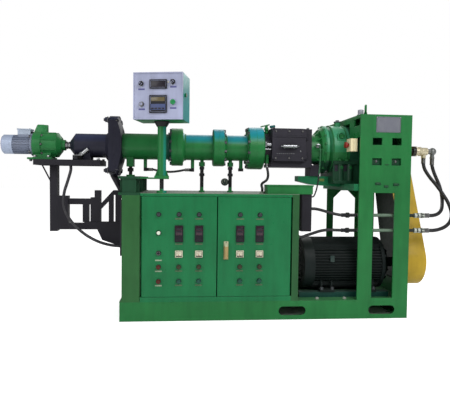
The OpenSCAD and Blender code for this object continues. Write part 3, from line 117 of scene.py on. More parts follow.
# Routes of the hoses and cables, in millimetres, as in the part's source
ROUTES = {
    "union_hose_upper": [(1155, 0, 971), (1155, 0, 940), (1164, -3, 900), (1180, -9, 855), (1196, -20, 810),
                         (1203, -38, 762), (1194, -70, 718), (1174, -110, 682), (1144, -158, 652),
                         (1104, -208, 633), (1060, -250, 622), (1020, -278, 618), (990, -288, 618),
                         (960, -288, 618)],
    "union_hose_lower": [(1095, 0, 978), (1095, 0, 948), (1104, -6, 905), (1128, -26, 855), (1160, -58, 800),
                         (1186, -96, 742), (1203, -134, 684), (1200, -176, 628), (1174, -214, 584),
                         (1130, -246, 553), (1078, -272, 536), (1030, -286, 528), (990, -288, 527),
                         (960, -288, 527)],
    "tower_hose_upper": [(470, -288, 618), (448, -288, 618), (415, -287, 623), (380, -284, 631),
                         (345, -278, 641), (315, -270, 649), (290, -264, 653), (267, -264, 653)],
    "tower_hose_lower": [(470, -288, 527), (448, -288, 527), (412, -288, 528), (375, -287, 529),
                         (340, -285, 526), (305, -281, 517), (272, -277, 505), (240, -274, 494),
                         (215, -273, 485), (195, -273, 485)],
    "jumper_hose": [(-716, 0, 880), (-690, 0, 880), (-655, 0, 873), (-610, 0, 867), (-565, 0, 867),
                    (-520, 0, 873), (-484, 0, 880), (-458, 0, 880)],
    "head_conduit": [(-1180, -75, 897), (-1180, -75, 868), (-1197, -83, 800), (-1216, -90, 730),
                     (-1219, -94, 660), (-1195, -96, 590), (-1145, -97, 525), (-1080, -97, 470),
                     (-1010, -95, 432), (-945, -92, 412), (-890, -90, 405), (-853, -90, 405)],
    "feed_cable": [(345, -125, 1040), (345, -140, 1040), (346, -157, 1026), (347, -165, 1000),
                   (345, -168, 950), (341, -173, 900), (333, -185, 845), (320, -204, 790), (306, -220, 752),
                   (289, -230, 725), (267, -230, 725)],
    "feed_hose": [(30, -75, 925), (30, -75, 903), (34, -86, 872), (32, -105, 846), (20, -128, 822),
                  (-10, -152, 802), (-20, -178, 788), (-19, -200, 772), (-19, -200, 752)],
}
CORD_FINISH = {"head_conduit": "conduit", "feed_cable": "cable_green"}
CORD_DIAMETER = {"union_hose_upper": 22, "union_hose_lower": 22, "tower_hose_upper": 18, "tower_hose_lower": 18,
                 "jumper_hose": 14, "head_conduit": 18, "feed_cable": 9, "feed_hose": 16}


class ExtruderSizes(bpy.types.PropertyGroup):
    """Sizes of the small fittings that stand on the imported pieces."""

    bolt: bpy.props.FloatProperty(
        name="Bolt head", description="Width of a flange bolt's head across its corners", default=0.022,
        min=0.004, unit="LENGTH")
    lamp: bpy.props.FloatProperty(
        name="Lamp", description="Diameter of a pilot lamp's bezel", default=0.027, min=0.01, unit="LENGTH")


class ExtruderColours(bpy.types.PropertyGroup):
    """Paint and trim colours."""

    green: bpy.props.FloatVectorProperty(
        name="Machine green", description="Main paint", subtype="COLOR", size=3,
        default=(0.016, 0.165, 0.042))
    cabinet: bpy.props.FloatVectorProperty(
        name="Cabinet green", description="Paint of the sheet-metal cabinets", subtype="COLOR", size=3,
        default=(0.009, 0.165, 0.055))
    head: bpy.props.FloatVectorProperty(
        name="Head black", description="Finish of the head", subtype="COLOR", size=3,
        default=(0.018, 0.018, 0.032))
    guard: bpy.props.FloatVectorProperty(
        name="Guard yellow", description="Paint of the belt guard", subtype="COLOR", size=3,
        default=(0.50, 0.33, 0.03))
    panel: bpy.props.FloatVectorProperty(
        name="Panel grey", description="Finish of the control box's front", subtype="COLOR", size=3,
        default=(0.36, 0.385, 0.54))


class ExtruderStage(bpy.types.PropertyGroup):
    """Camera and light."""

    lens: bpy.props.FloatProperty(
        name="Lens", description="Focal length on a 36 mm sensor", default=38.33, min=10.0)
    yaw: bpy.props.FloatProperty(
        name="Yaw", description="Turn of the view towards the gearbox end", default=math.radians(5.0),
        subtype="ANGLE")
    pitch: bpy.props.FloatProperty(
        name="Pitch", description="Tilt of the view, down is negative", default=math.radians(-2.51),
        subtype="ANGLE")
    roll: bpy.props.FloatProperty(
        name="Roll", description="Roll of the view", default=math.radians(0.69), subtype="ANGLE")
    place: bpy.props.FloatVectorProperty(
        name="Place", description="Camera position", subtype="TRANSLATION", size=3,
        default=(-0.496, -3.073, 0.825))
    key_power: bpy.props.FloatProperty(
        name="Key light", description="Power of the main soft light", default=105.0, unit="POWER")
    fill_power: bpy.props.FloatProperty(
        name="Fill light", description="Power of the fill light", default=45.0, unit="POWER")
    sky: bpy.props.FloatProperty(
        name="Sky", description="Strength of the pale surroundings as a light", default=0.55, min=0.0)
    shine: bpy.props.FloatProperty(
        name="Shine", description="Strength of the surroundings in reflections", default=0.12, min=0.0)


# Materials

def group_socket(tree, name, direction, kind, default=None):
    socket = tree.interface.new_socket(name=name, in_out=direction, socket_type=kind)
    if default is not None:
        socket.default_value = default
    return socket


def link(tree, source, target):
    tree.links.new(source, target)


def noise(tree, coordinates, scale, detail=3.0, roughness=0.55):
    node = tree.nodes.new("ShaderNodeTexNoise")
    node.inputs["Scale"].default_value = scale
    node.inputs["Detail"].default_value = detail
    node.inputs["Roughness"].default_value = roughness
    link(tree, coordinates, node.inputs["Vector"])
    return node


def map_range(tree, value, low, high, to_low, to_high):
    node = tree.nodes.new("ShaderNodeMapRange")
    node.inputs["From Min"].default_value = low
    node.inputs["From Max"].default_value = high
    node.inputs["To Min"].default_value = to_low
    node.inputs["To Max"].default_value = to_high
    link(tree, value, node.inputs["Value"])
    return node


def mix_colour(tree, factor, first, second, blend="MIX"):
    node = tree.nodes.new("ShaderNodeMix")
    node.data_type = "RGBA"
    node.blend_type = blend
    for socket, value in ((node.inputs[0], factor), (node.inputs[6], first), (node.inputs[7], second)):
        if hasattr(value, "links"):
            link(tree, value, socket)
        elif isinstance(value, (int, float)):
            socket.default_value = value
        else:
            socket.default_value = (*value[:3], 1.0)
    return node.outputs[2]


def math_node(tree, operation, first, second=None, clamp=False):
    node = tree.nodes.new("ShaderNodeMath")
    node.operation = operation
    node.use_clamp = clamp
    for socket, value in ((node.inputs[0], first), (node.inputs[1], second)):
        if value is None:
            continue
        if hasattr(value, "links"):
            link(tree, value, socket)
        else:
            socket.default_value = value
    return node.outputs[0]


def paint_group():
    """Mottled paint with chipped edges, dust on top faces and a soft orange-peel normal."""
    name = "painted_surface"
    if name in bpy.data.node_groups:
        return bpy.data.node_groups[name]
    tree = bpy.data.node_groups.new(name, "ShaderNodeTree")
    group_socket(tree, "Paint", "INPUT", "NodeSocketColor")
    group_socket(tree, "Bare", "INPUT", "NodeSocketColor")
    group_socket(tree, "Roughness", "INPUT", "NodeSocketFloat", 0.4)
    group_socket(tree, "Edge wear", "INPUT", "NodeSocketFloat", 0.3)
    group_socket(tree, "Dust", "INPUT", "NodeSocketFloat", 0.2)
    group_socket(tree, "Grain", "INPUT", "NodeSocketFloat", 0.15)
    group_socket(tree, "Edge radius", "INPUT", "NodeSocketFloat", 0.002)
    group_socket(tree, "Color", "OUTPUT", "NodeSocketColor")
    group_socket(tree, "Roughness", "OUTPUT", "NodeSocketFloat")
    group_socket(tree, "Normal", "OUTPUT", "NodeSocketVector")
    given = tree.nodes.new("NodeGroupInput")
    out = tree.nodes.new("NodeGroupOutput")
    place = tree.nodes.new("ShaderNodeTexCoord").outputs["Object"]
    broad = noise(tree, place, 3.2, 4.0).outputs["Fac"]
    fine = noise(tree, place, 46.0, 5.0, 0.65).outputs["Fac"]
    streak_map = tree.nodes.new("ShaderNodeMapping")
    streak_map.inputs["Scale"].default_value = (9.0, 9.0, 1.3)
    link(tree, place, streak_map.inputs["Vector"])
    streak = noise(tree, streak_map.outputs["Vector"], 2.4, 4.0, 0.6).outputs["Fac"]
    # Slight light and dark areas in the paint
    shade = map_range(tree, broad, 0.3, 0.7, 0.86, 1.14).outputs["Result"]
    runs = map_range(tree, streak, 0.35, 0.75, 1.05, 0.84).outputs["Result"]
    shade = math_node(tree, "MULTIPLY", shade, runs)
    shaded = tree.nodes.new("ShaderNodeVectorMath")
    shaded.operation = "SCALE"
    link(tree, given.outputs["Paint"], shaded.inputs[0])
    link(tree, shade, shaded.inputs["Scale"])
    # Worn edges: where the rounded normal departs from the face's own
    edge = tree.nodes.new("ShaderNodeBevel")
    edge.samples = 4
    link(tree, given.outputs["Edge radius"], edge.inputs["Radius"])
    face = tree.nodes.new("ShaderNodeNewGeometry")
    dot = tree.nodes.new("ShaderNodeVectorMath")
    dot.operation = "DOT_PRODUCT"
    link(tree, edge.outputs["Normal"], dot.inputs[0])
    link(tree, face.outputs["Normal"], dot.inputs[1])
    away = map_range(tree, dot.outputs["Value"], 0.995, 0.85, 0.0, 1.0).outputs["Result"]
    chips = map_range(tree, fine, 0.50, 0.62, 0.0, 1.0).outputs["Result"]
    worn = math_node(tree, "MULTIPLY", math_node(tree, "MULTIPLY", away, chips), given.outputs["Edge wear"], True)
    colour = mix_colour(tree, worn, shaded.outputs["Vector"], given.outputs["Bare"])
    # Dust gathers on faces that look up
    up = tree.nodes.new("ShaderNodeSeparateXYZ")
    link(tree, face.outputs["Normal"], up.inputs[0])
    settled = map_range(tree, up.outputs["Z"], 0.55, 0.98, 0.0, 1.0).outputs["Result"]
    patches = map_range(tree, broad, 0.25, 0.7, 0.45, 1.0).outputs["Result"]
    dust = math_node(tree, "MULTIPLY", math_node(tree, "MULTIPLY", settled, patches), given.outputs["Dust"], True)
    colour = mix_colour(tree, dust, colour, (0.32, 0.33, 0.27))
    rough = math_node(tree, "ADD", given.outputs["Roughness"],
                      map_range(tree, fine, 0.3, 0.7, -0.07, 0.09).outputs["Result"])
    rough = math_node(tree, "ADD", rough, math_node(tree, "MULTIPLY", dust, 0.35), True)
    bump = tree.nodes.new("ShaderNodeBump")
    bump.inputs["Distance"].default_value = 0.0012
    link(tree, given.outputs["Grain"], bump.inputs["Strength"])
    peel = noise(tree, place, 130.0, 2.0).outputs["Fac"]
    link(tree, math_node(tree, "ADD", math_node(tree, "MULTIPLY", peel, 0.5), fine), bump.inputs["Height"])
    link(tree, edge.outputs["Normal"], bump.inputs["Normal"])
    link(tree, colour, out.inputs["Color"])
    link(tree, rough, out.inputs["Roughness"])
    link(tree, bump.outputs["Normal"], out.inputs["Normal"])
    return tree


def metal_group():
    """Brushed or cast metal: directional scratches, stains and a soft edge."""
    name = "metal_surface"
    if name in bpy.data.node_groups:
        return bpy.data.node_groups[name]
    tree = bpy.data.node_groups.new(name, "ShaderNodeTree")
    group_socket(tree, "Metal", "INPUT", "NodeSocketColor")
    group_socket(tree, "Stain", "INPUT", "NodeSocketColor")
    group_socket(tree, "Roughness", "INPUT", "NodeSocketFloat", 0.3)
    group_socket(tree, "Stain amount", "INPUT", "NodeSocketFloat", 0.3)
    group_socket(tree, "Grain", "INPUT", "NodeSocketFloat", 0.2)
    group_socket(tree, "Color", "OUTPUT", "NodeSocketColor")
    group_socket(tree, "Roughness", "OUTPUT", "NodeSocketFloat")
    group_socket(tree, "Normal", "OUTPUT", "NodeSocketVector")
    given = tree.nodes.new("NodeGroupInput")
    out = tree.nodes.new("NodeGroupOutput")
    place = tree.nodes.new("ShaderNodeTexCoord").outputs["Object"]
    turned = tree.nodes.new("ShaderNodeMapping")
    turned.inputs["Scale"].default_value = (260.0, 18.0, 18.0)
    link(tree, place, turned.inputs["Vector"])
    rings = noise(tree, turned.outputs["Vector"], 1.0, 2.0).outputs["Fac"]
    blot = noise(tree, place, 24.0, 4.0, 0.6).outputs["Fac"]
    mask = map_range(tree, blot, 0.45, 0.75, 0.0, 1.0).outputs["Result"]
    mask = math_node(tree, "MULTIPLY", mask, given.outputs["Stain amount"], True)
    colour = mix_colour(tree, mask, given.outputs["Metal"], given.outputs["Stain"])
    rough = math_node(tree, "ADD", given.outputs["Roughness"],
                      map_range(tree, rings, 0.3, 0.7, -0.08, 0.1).outputs["Result"], True)
    bevel = tree.nodes.new("ShaderNodeBevel")
    bevel.samples = 4
    bevel.inputs["Radius"].default_value = 0.0012
    bump = tree.nodes.new("ShaderNodeBump")
    bump.inputs["Distance"].default_value = 0.0006
    link(tree, given.outputs["Grain"], bump.inputs["Strength"])
    link(tree, math_node(tree, "ADD", rings, blot), bump.inputs["Height"])
    link(tree, bevel.outputs["Normal"], bump.inputs["Normal"])
    link(tree, colour, out.inputs["Color"])
    link(tree, rough, out.inputs["Roughness"])
    link(tree, bump.outputs["Normal"], out.inputs["Normal"])
    return tree


def new_material(name):
    material = bpy.data.materials.new(name)
    material.use_nodes = True
    tree = material.node_tree
    return material, tree, tree.nodes["Principled BSDF"]


FAR = 9.0


def zoned(tree, colour, zones):
    """A colour that changes inside boxes (two corners in metres) or on faces turned one way."""
    place = tree.nodes.new("ShaderNodeSeparateXYZ")
    link(tree, tree.nodes.new("ShaderNodeTexCoord").outputs["Object"], place.inputs[0])
    for zone in zones:
        inside = 1.0
        for axis, low, high in zip("XYZ", zone["low"], zone["high"]):
            if low > -FAR:
                inside = math_node(tree, "MULTIPLY", math_node(tree, "GREATER_THAN", place.outputs[axis], low),
                                   inside)
            if high < FAR:
                inside = math_node(tree, "MULTIPLY", math_node(tree, "LESS_THAN", place.outputs[axis], high),
                                   inside)
        if "facing" in zone:
            dot = tree.nodes.new("ShaderNodeVectorMath")
            dot.operation = "DOT_PRODUCT"
            link(tree, tree.nodes.new("ShaderNodeNewGeometry").outputs["Normal"], dot.inputs[0])
            dot.inputs[1].default_value = Vector(zone["facing"]).normalized()
            soft = map_range(tree, dot.outputs["Value"], *zone["turn"], 0.0, zone.get("most", 1.0))
            inside = math_node(tree, "MULTIPLY", soft.outputs["Result"], inside)
        colour = mix_colour(tree, inside, colour, zone["colour"])
    return colour


def region(colour, low=(-FAR, -FAR, -FAR), high=(FAR, FAR, FAR), **more):
    return {"colour": colour, "low": low, "high": high, **more}


def use_group(tree, shader, group, values, zones=()):
    node = tree.nodes.new("ShaderNodeGroup")
    node.node_tree = group
    for k, (key, value) in enumerate(values.items()):
        socket = node.inputs[key]
        if k == 0 and zones:
            link(tree, zoned(tree, value, zones), socket)
        else:
            socket.default_value = value if isinstance(value, (int, float)) else (*value[:3], 1.0)
    link(tree, node.outputs["Color"], shader.inputs["Base Color"])
    link(tree, node.outputs["Roughness"], shader.inputs["Roughness"])
    link(tree, node.outputs["Normal"], shader.inputs["Normal"])
    return node


def paint(name, colour, roughness=0.36, wear=0.35, dust=0.12, grain=0.12, coat=0.06, bare=(0.16, 0.17, 0.16),
          radius=0.0016, specular=0.25, zones=()):
    material, tree, shader = new_material(name)
    use_group(tree, shader, paint_group(), {
        "Paint": colour, "Bare": bare, "Roughness": roughness, "Edge wear": wear, "Dust": dust,
        "Grain": grain, "Edge radius": radius}, zones)
    shader.inputs["Coat Weight"].default_value = coat
    shader.inputs["Coat Roughness"].default_value = 0.18
    shader.inputs["Specular IOR Level"].default_value = specular
    return material


def metal(name, colour, roughness=0.3, stain=(0.1, 0.08, 0.06), amount=0.3, grain=0.2, metallic=1.0,
          zones=()):
    material, tree, shader = new_material(name)
    use_group(tree, shader, metal_group(), {
        "Metal": colour, "Stain": stain, "Roughness": roughness, "Stain amount": amount, "Grain": grain}, zones)
    shader.inputs["Metallic"].default_value = metallic
    return material


def plastic(name, colour, roughness=0.38, grain=0.1, coat=0.0, zones=()):
    return paint(name, colour, roughness, wear=0.0, dust=0.12, grain=grain, coat=coat, radius=0.0008,
                 zones=zones)


def lamp_lens(name, colour, glow):
    material, tree, shader = new_material(name)
    place = tree.nodes.new("ShaderNodeTexCoord").outputs["Object"]
    facets = tree.nodes.new("ShaderNodeTexVoronoi")
    facets.inputs["Scale"].default_value = 420.0
    link(tree, place, facets.inputs["Vector"])
    tint = map_range(tree, facets.outputs["Distance"], 0.0, 0.6, 0.75, 1.2).outputs["Result"]
    shade = tree.nodes.new("ShaderNodeVectorMath")
    shade.operation = "SCALE"
    shade.inputs[0].default_value = colour
    link(tree, tint, shade.inputs["Scale"])
    link(tree, shade.outputs["Vector"], shader.inputs["Base Color"])
    bump = tree.nodes.new("ShaderNodeBump")
    bump.inputs["Distance"].default_value = 0.0008
    bump.inputs["Strength"].default_value = 0.4
    link(tree, facets.outputs["Distance"], bump.inputs["Height"])
    link(tree, bump.outputs["Normal"], shader.inputs["Normal"])
    shader.inputs["Roughness"].default_value = 0.16
    shader.inputs["Emission Color"].default_value = (*colour, 1.0)
    shader.inputs["Emission Strength"].default_value = glow
    return material


def hose_rubber(name, colour, wrap=0.0):
    """Dull rubber with pale scuffs."""
    material, tree, shader = new_material(name)
    place = tree.nodes.new("ShaderNodeTexCoord").outputs["Object"]
    scuff = noise(tree, place, 90.0, 4.0, 0.6).outputs["Fac"]
    pale = tuple(min(1.0, c * 2.6 + 0.02) for c in colour)
    mask = map_range(tree, scuff, 0.52, 0.72, 0.0, 0.55).outputs["Result"]
    link(tree, mix_colour(tree, mask, colour, pale), shader.inputs["Base Color"])
    rough = map_range(tree, scuff, 0.3, 0.7, 0.42, 0.62).outputs["Result"]
    link(tree, rough, shader.inputs["Roughness"])
    bump = tree.nodes.new("ShaderNodeBump")
    bump.inputs["Distance"].default_value = 0.0007
    bump.inputs["Strength"].default_value = 0.35
    link(tree, scuff, bump.inputs["Height"])
    link(tree, bump.outputs["Normal"], shader.inputs["Normal"])
    return material


FINISHES = {}


def build_finishes(colours):
    green = tuple(colours.green)
    cabinet = tuple(colours.cabinet)
    black = (0.012, 0.013, 0.014)
    FINISHES["green"] = paint("machine_green", green)
    FINISHES["olive_green"] = paint("column_green", (0.026, 0.125, 0.035))
    FINISHES["jack_green"] = paint("jack_green", green, zones=[
        region(black, low=(-FAR, -FAR, 0.846), high=(FAR, FAR, 0.8955))])
    # Post: a painted teal highlight on its faces turned to the right front.
    FINISHES["post_green"] = paint("post_green", green, zones=[
        region((0.012, 0.23, 0.17), facing=(0.8, -0.6, 0.0), turn=(0.75, 0.97), most=0.9),
        region(black, low=(-FAR, -FAR, 1.119)), region(black, low=(-FAR, -FAR, 0.764), high=(FAR, FAR, 0.822))])
    FINISHES["riser_green"] = paint("riser_green", green, zones=[
        region(black, low=(-FAR, -FAR, 0.772), high=(FAR, FAR, 0.892))])
    FINISHES["pipe_green"] = paint("pipe_green", (0.13, 0.20, 0.14), zones=[
        region((0.02, 0.028, 0.026), low=(0.856, -FAR, -FAR)), region(black, high=(0.541, FAR, FAR))])
    FINISHES["rail_green"] = paint("rail_green", (0.006, 0.048, 0.036), roughness=0.45)
    FINISHES["cable_green"] = paint("cable_green", (0.030, 0.125, 0.055), wear=0.0, zones=[
        region(black, high=(FAR, FAR, 0.86))])
    FINISHES["body_green"] = paint("cabinet_body_green", cabinet, roughness=0.33, dust=0.15, grain=0.08, zones=[
        region((0.21, 0.26, 0.20), low=(-FAR, -FAR, 0.7385)),
        region((0.022, 0.100, 0.032), low=(0.140, -FAR, -FAR), high=(FAR, FAR, 0.7385))])
    # Control box: a painted cyan reflection on its right side.
    FINISHES["box_green"] = paint("control_box_green", cabinet, roughness=0.33, dust=0.3, grain=0.08, zones=[
        region((0.05, 0.30, 0.30), facing=(0.978, -0.208, 0.0), turn=(0.8, 0.95))])
    FINISHES["cabinet_green"] = paint("cabinet_green", cabinet, roughness=0.33, dust=0.2, grain=0.08)
    # Front barrel: a painted shadow of the control post across it, between X -0.609 and -0.571 m.
    FINISHES["barrel_green"] = paint("barrel_green", green, roughness=0.34, coat=0.1, grain=0.16, zones=[
        region((0.010, 0.085, 0.055), low=(-0.609, -FAR, -FAR), high=(-0.571, FAR, FAR))])
    # Middle and rear barrel: a painted cyan highlight on the upward faces, pale painted highlight strips beside two
    # flanges, and the valve lever in black.
    FINISHES["painted_sheen_green"] = paint("barrel_painted_sheen", green, roughness=0.34, coat=0.1, grain=0.16, zones=[
        region((0.003, 0.245, 0.31), low=(-0.498, -FAR, 1.03), facing=(0.0, -0.35, 0.94), turn=(0.55, 0.9), most=1.0),
        region((0.26, 0.52, 0.54), low=(-0.4985, -FAR, 1.03), high=(-0.488, FAR, FAR), facing=(0.0, -0.6, 0.8),
               turn=(0.6, 0.9)),
        region((0.26, 0.52, 0.54), low=(-0.240, -FAR, 1.03), high=(-0.230, FAR, FAR), facing=(0.0, -0.6, 0.8),
               turn=(0.6, 0.9)),
        region(black, low=(0.011, -FAR, 1.135), high=(0.110, FAR, FAR))])
    # Gearbox: a painted cyan highlight on its upper faces, painted shade on the part inside the tower, and darker
    # below Z 0.948 m.
    FINISHES["gear_green"] = paint("gear_green", green, roughness=0.34, coat=0.1, grain=0.16, zones=[
        region((0.05, 0.30, 0.16), low=(0.39, -FAR, 1.0), facing=(0.0, -0.5, 0.86), turn=(0.1, 0.85), most=0.9),
        region((0.012, 0.07, 0.035), low=(0.541, -FAR, -FAR)),
        region((0.012, 0.058, 0.028), high=(FAR, FAR, 0.948))])
    FINISHES["shelf_green"] = paint("shelf_green", (0.005, 0.15, 0.055), roughness=0.45)
    FINISHES["dark_green"] = paint("shadow_green", (0.009, 0.062, 0.026), roughness=0.45)
    # Head: a painted bluish reflection on its upward faces.
    FINISHES["head_black"] = paint("head_black", tuple(colours.head), roughness=0.38, wear=0.5, grain=0.35,
                                   dust=0.06, bare=(0.10, 0.09, 0.11), coat=0.0, zones=[
        region((0.026, 0.034, 0.085), low=(-FAR, -FAR, 1.03), facing=(0.0, -0.3, 0.95), turn=(0.5, 0.95), most=0.8)])
    FINISHES["frame_black"] = paint("frame_black", (0.016, 0.015, 0.021), roughness=0.42, wear=0.35, dust=0.06,
                                    coat=0.0, specular=0.25, bare=(0.10, 0.09, 0.085))
    FINISHES["cover_black"] = paint("cover_black", (0.022, 0.020, 0.030), roughness=0.45, wear=0.3, grain=0.2,
                                    dust=0.06, coat=0.0, specular=0.3)
    FINISHES["motor_black"] = paint("motor_black", (0.008, 0.014, 0.013), roughness=0.5, wear=0.15, grain=0.3,
                                    dust=0.04, coat=0.0, specular=0.2)
    FINISHES["panel_grey"] = paint("panel_grey", tuple(colours.panel), roughness=0.42, wear=0.1, dust=0.0,
                                   grain=0.08, coat=0.1)
    FINISHES["control_black"] = plastic("control_black", (0.016, 0.016, 0.02))
    FINISHES["steel"] = metal("machined_steel", (0.36, 0.37, 0.38))
    FINISHES["chrome"] = metal("polished_steel", (0.38, 0.39, 0.41), roughness=0.28, amount=0.12, grain=0.08)
    FINISHES["cast_aluminium"] = metal("silver_casting", (0.19, 0.22, 0.30), roughness=0.42, amount=0.15,
                                       grain=0.35, metallic=0.25,
                                       zones=[region((0.40, 0.47, 0.62), high=(-1.534, FAR, FAR)),
                                              region((0.36, 0.42, 0.52), low=(-FAR, -FAR, 1.083))])
    # Belt guard: painted shade, nearly black, on its part left of X 0.856 m, towards the tower.
    FINISHES["guard_yellow"] = paint("guard_yellow", tuple(colours.guard), roughness=0.45, dust=0.04, specular=0.2,
                                     zones=[region((0.016, 0.028, 0.018), high=(0.8562, FAR, FAR))])
    FINISHES["brass"] = metal("brass", (0.60, 0.50, 0.30), roughness=0.3, stain=(0.16, 0.12, 0.06))
    FINISHES["union_brass"] = metal("union_brass", (0.74, 0.66, 0.46), roughness=0.3, stain=(0.16, 0.12, 0.06), metallic=0.35,
                                    zones=[region((0.03, 0.03, 0.03), high=(1.034, FAR, FAR)),
                                           region((0.20, 0.21, 0.21), low=(1.118, -FAR, -FAR))])
    FINISHES["sensor_steel"] = metal("sensor_steel", (0.46, 0.47, 0.48), zones=[
        region(black, low=(-FAR, -0.12, 0.9), high=(FAR, FAR, 0.956))])
    FINISHES["handle_tan"] = plastic("handle_tan", (0.42, 0.31, 0.13), roughness=0.32, zones=[
        region((0.46, 0.47, 0.30), low=(-FAR, -FAR, 0.436))])
    FINISHES["station_cream"] = plastic("station_cream", (0.92, 0.79, 0.50), roughness=0.3, zones=[
        region((0.26, 0.020, 0.008), high=(0.4965, FAR, FAR)),
        region(green, low=(-FAR, -FAR, 1.0765))])
    FINISHES["stop_red"] = plastic("stop_red", (0.26, 0.012, 0.010), roughness=0.25, coat=0.4)
    FINISHES["button_red"] = plastic("button_red", (0.085, 0.012, 0.006), roughness=0.3, coat=0.3)
    FINISHES["button_green"] = plastic("button_green", (0.006, 0.075, 0.05), roughness=0.3, coat=0.3)
    FINISHES["lamp_dark"] = lamp_lens("lamp_dark", (0.03, 0.035, 0.04), 0.0)
    FINISHES["lamp_pale"] = lamp_lens("lamp_pale", (0.62, 0.66, 0.55), 0.05)
    FINISHES["screen"] = plastic("screen_glass", (0.022, 0.018, 0.026), roughness=0.3, coat=0.2)
    FINISHES["plate"] = metal("bare_plate", (0.15, 0.157, 0.19), roughness=0.5, amount=0.3, grain=0.3,
                              metallic=0.2, stain=(0.22, 0.23, 0.24))
    FINISHES["dial"] = plastic("dial_white", (0.70, 0.66, 0.50), roughness=0.35)
    FINISHES["bolt_dark"] = metal("bolt_dark", (0.10, 0.11, 0.12), roughness=0.42, metallic=0.7)
    FINISHES["bolt_green"] = paint("bolt_green", tuple(c * 0.8 for c in green), wear=0.7)
    FINISHES["steel_dark"] = metal("steel_dark", (0.16, 0.16, 0.16), roughness=0.4, metallic=0.8)
    FINISHES["grip_teal"] = plastic("grip_teal", (0.01, 0.12, 0.12), roughness=0.4)
    FINISHES["gauge_face"] = plastic("gauge_face", (0.02, 0.035, 0.03), roughness=0.4)
    FINISHES["plate_teal"] = metal("plate_teal", (0.02, 0.05, 0.045), roughness=0.4, metallic=0.4)
    FINISHES["label_pale"] = plastic("label_pale", (0.30, 0.38, 0.26), roughness=0.45)
    FINISHES["label_dim"] = plastic("label_dim", (0.085, 0.15, 0.075), roughness=0.5)
    FINISHES["label_blue"] = plastic("label_blue", (0.10, 0.10, 0.26), roughness=0.45)
    FINISHES["amber_screen"] = plastic("amber_screen", (0.13, 0.105, 0.055), roughness=0.2, coat=0.6)
    FINISHES["red_screen"] = plastic("red_screen", (0.035, 0.008, 0.018), roughness=0.15, coat=0.8)
    FINISHES["key_blue"] = plastic("key_blue", (0.065, 0.085, 0.19), roughness=0.4)
    FINISHES["cap_green"] = plastic("cap_green", (0.015, 0.23, 0.07), roughness=0.25, coat=0.5)
    FINISHES["button_dark"] = plastic("button_dark", (0.035, 0.035, 0.012), roughness=0.3, coat=0.3)
    FINISHES["grey_cast"] = metal("grey_cast", (0.30, 0.30, 0.35), roughness=0.5, amount=0.2, metallic=0.15)
    FINISHES["fitting_pale"] = metal("fitting_pale", (0.42, 0.45, 0.40), roughness=0.4, amount=0.2, metallic=0.3)
    FINISHES["tag_olive"] = plastic("tag_olive", (0.15, 0.20, 0.05), roughness=0.5)
    FINISHES["needle_red"] = plastic("needle_red", (0.38, 0.05, 0.04), roughness=0.4)
    FINISHES["gauge_black"] = plastic("gauge_black", (0.012, 0.020, 0.016), roughness=0.3, coat=0.3)
    FINISHES["hose"] = hose_rubber("hose_rubber", (0.014, 0.014, 0.016))
    FINISHES["conduit"] = hose_rubber("conduit_rubber", (0.022, 0.021, 0.026))


# Modelling

def at(x, y, z):
    """A point given in millimetres."""
    return Vector((x, y, z)) * MM


def deselect_all():
    if bpy.context.object is not None and bpy.context.object.mode != "OBJECT":
        bpy.ops.object.mode_set(mode="OBJECT")
    bpy.ops.object.select_all(action="DESELECT")


def make_active(obj):
    deselect_all()
    obj.select_set(True)
    bpy.context.view_layer.objects.active = obj


def apply_place(obj):
    make_active(obj)
    bpy.ops.object.transform_apply(location=True, rotation=True, scale=True)


def round_edges(obj, width, segments=2, angle=30.0):
    make_active(obj)
    bevel = obj.modifiers.new("edge_round", "BEVEL")
    bevel.width = width
    bevel.segments = segments
    bevel.limit_method = "ANGLE"
    bevel.angle_limit = math.radians(angle)
    bpy.ops.object.modifier_apply(modifier=bevel.name)


def block(low, high, width=0.0012, segments=2):
    """A box between two corners, its edges rounded."""
    low, high = Vector(low), Vector(high)
    deselect_all()
    bpy.ops.mesh.primitive_cube_add(size=1.0, location=(low + high) / 2)
    obj = bpy.context.object
    obj.scale = high - low
    apply_place(obj)
    if width > 0.0:
        round_edges(obj, width, segments)
    return obj


def turned_to(axis):
    return Vector((0, 0, 1)).rotation_difference(Vector(axis)).to_euler()


def carried(obj, matrix):
    """Moves a finished mesh by a matrix and puts the move into the mesh."""
    obj.matrix_world = matrix @ obj.matrix_world
    apply_place(obj)
    return obj


def slab(x, z, width, height, front, back, edge=0.0006):
    """A flat plate that stands upright and faces the front, by its middle and its two Y places, in mm."""
    return block(at(x - width / 2, front, z - height / 2), at(x + width / 2, back, z + height / 2), edge)


def rod(start, axis, radius, length, sides=32, width=0.0008, top=None):
    """A round or many-sided rod from a point along an axis; top gives a second radius."""
    axis = Vector(axis).normalized()
    deselect_all()
    centre = Vector(start) + axis * (length / 2)
    if top is None:
        bpy.ops.mesh.primitive_cylinder_add(
            vertices=sides, radius=radius, depth=length, location=centre, rotation=turned_to(axis))
    else:
        bpy.ops.mesh.primitive_cone_add(
            vertices=sides, radius1=radius, radius2=top, depth=length, location=centre,
            rotation=turned_to(axis))
    obj = bpy.context.object
    apply_place(obj)
    if width > 0.0:
        round_edges(obj, width, 2, 40.0)
    return obj


def select_faces(obj, test):
    """Selects the faces of the active mesh, in edit mode, whose centre and normal pass a test."""
    mesh = bmesh.from_edit_mesh(obj.data)
    for face in mesh.faces:
        face.select_set(test(face.calc_center_median(), face.normal))
    mesh.select_flush_mode()
    bmesh.update_edit_mesh(obj.data)


def select_edges(obj, test):
    """Selects the edges of the active mesh, in edit mode, whose two ends pass a test."""
    mesh = bmesh.from_edit_mesh(obj.data)
    for edge in mesh.edges:
        edge.select_set(test(edge.verts[0].co, edge.verts[1].co))
    bmesh.update_edit_mesh(obj.data)


def select_points(obj, test):
    """Selects the points of the active mesh, in edit mode, that pass a test."""
    mesh = bmesh.from_edit_mesh(obj.data)
    for point in mesh.verts:
        point.select_set(test(point.co))
    mesh.select_flush_mode()
    bmesh.update_edit_mesh(obj.data)


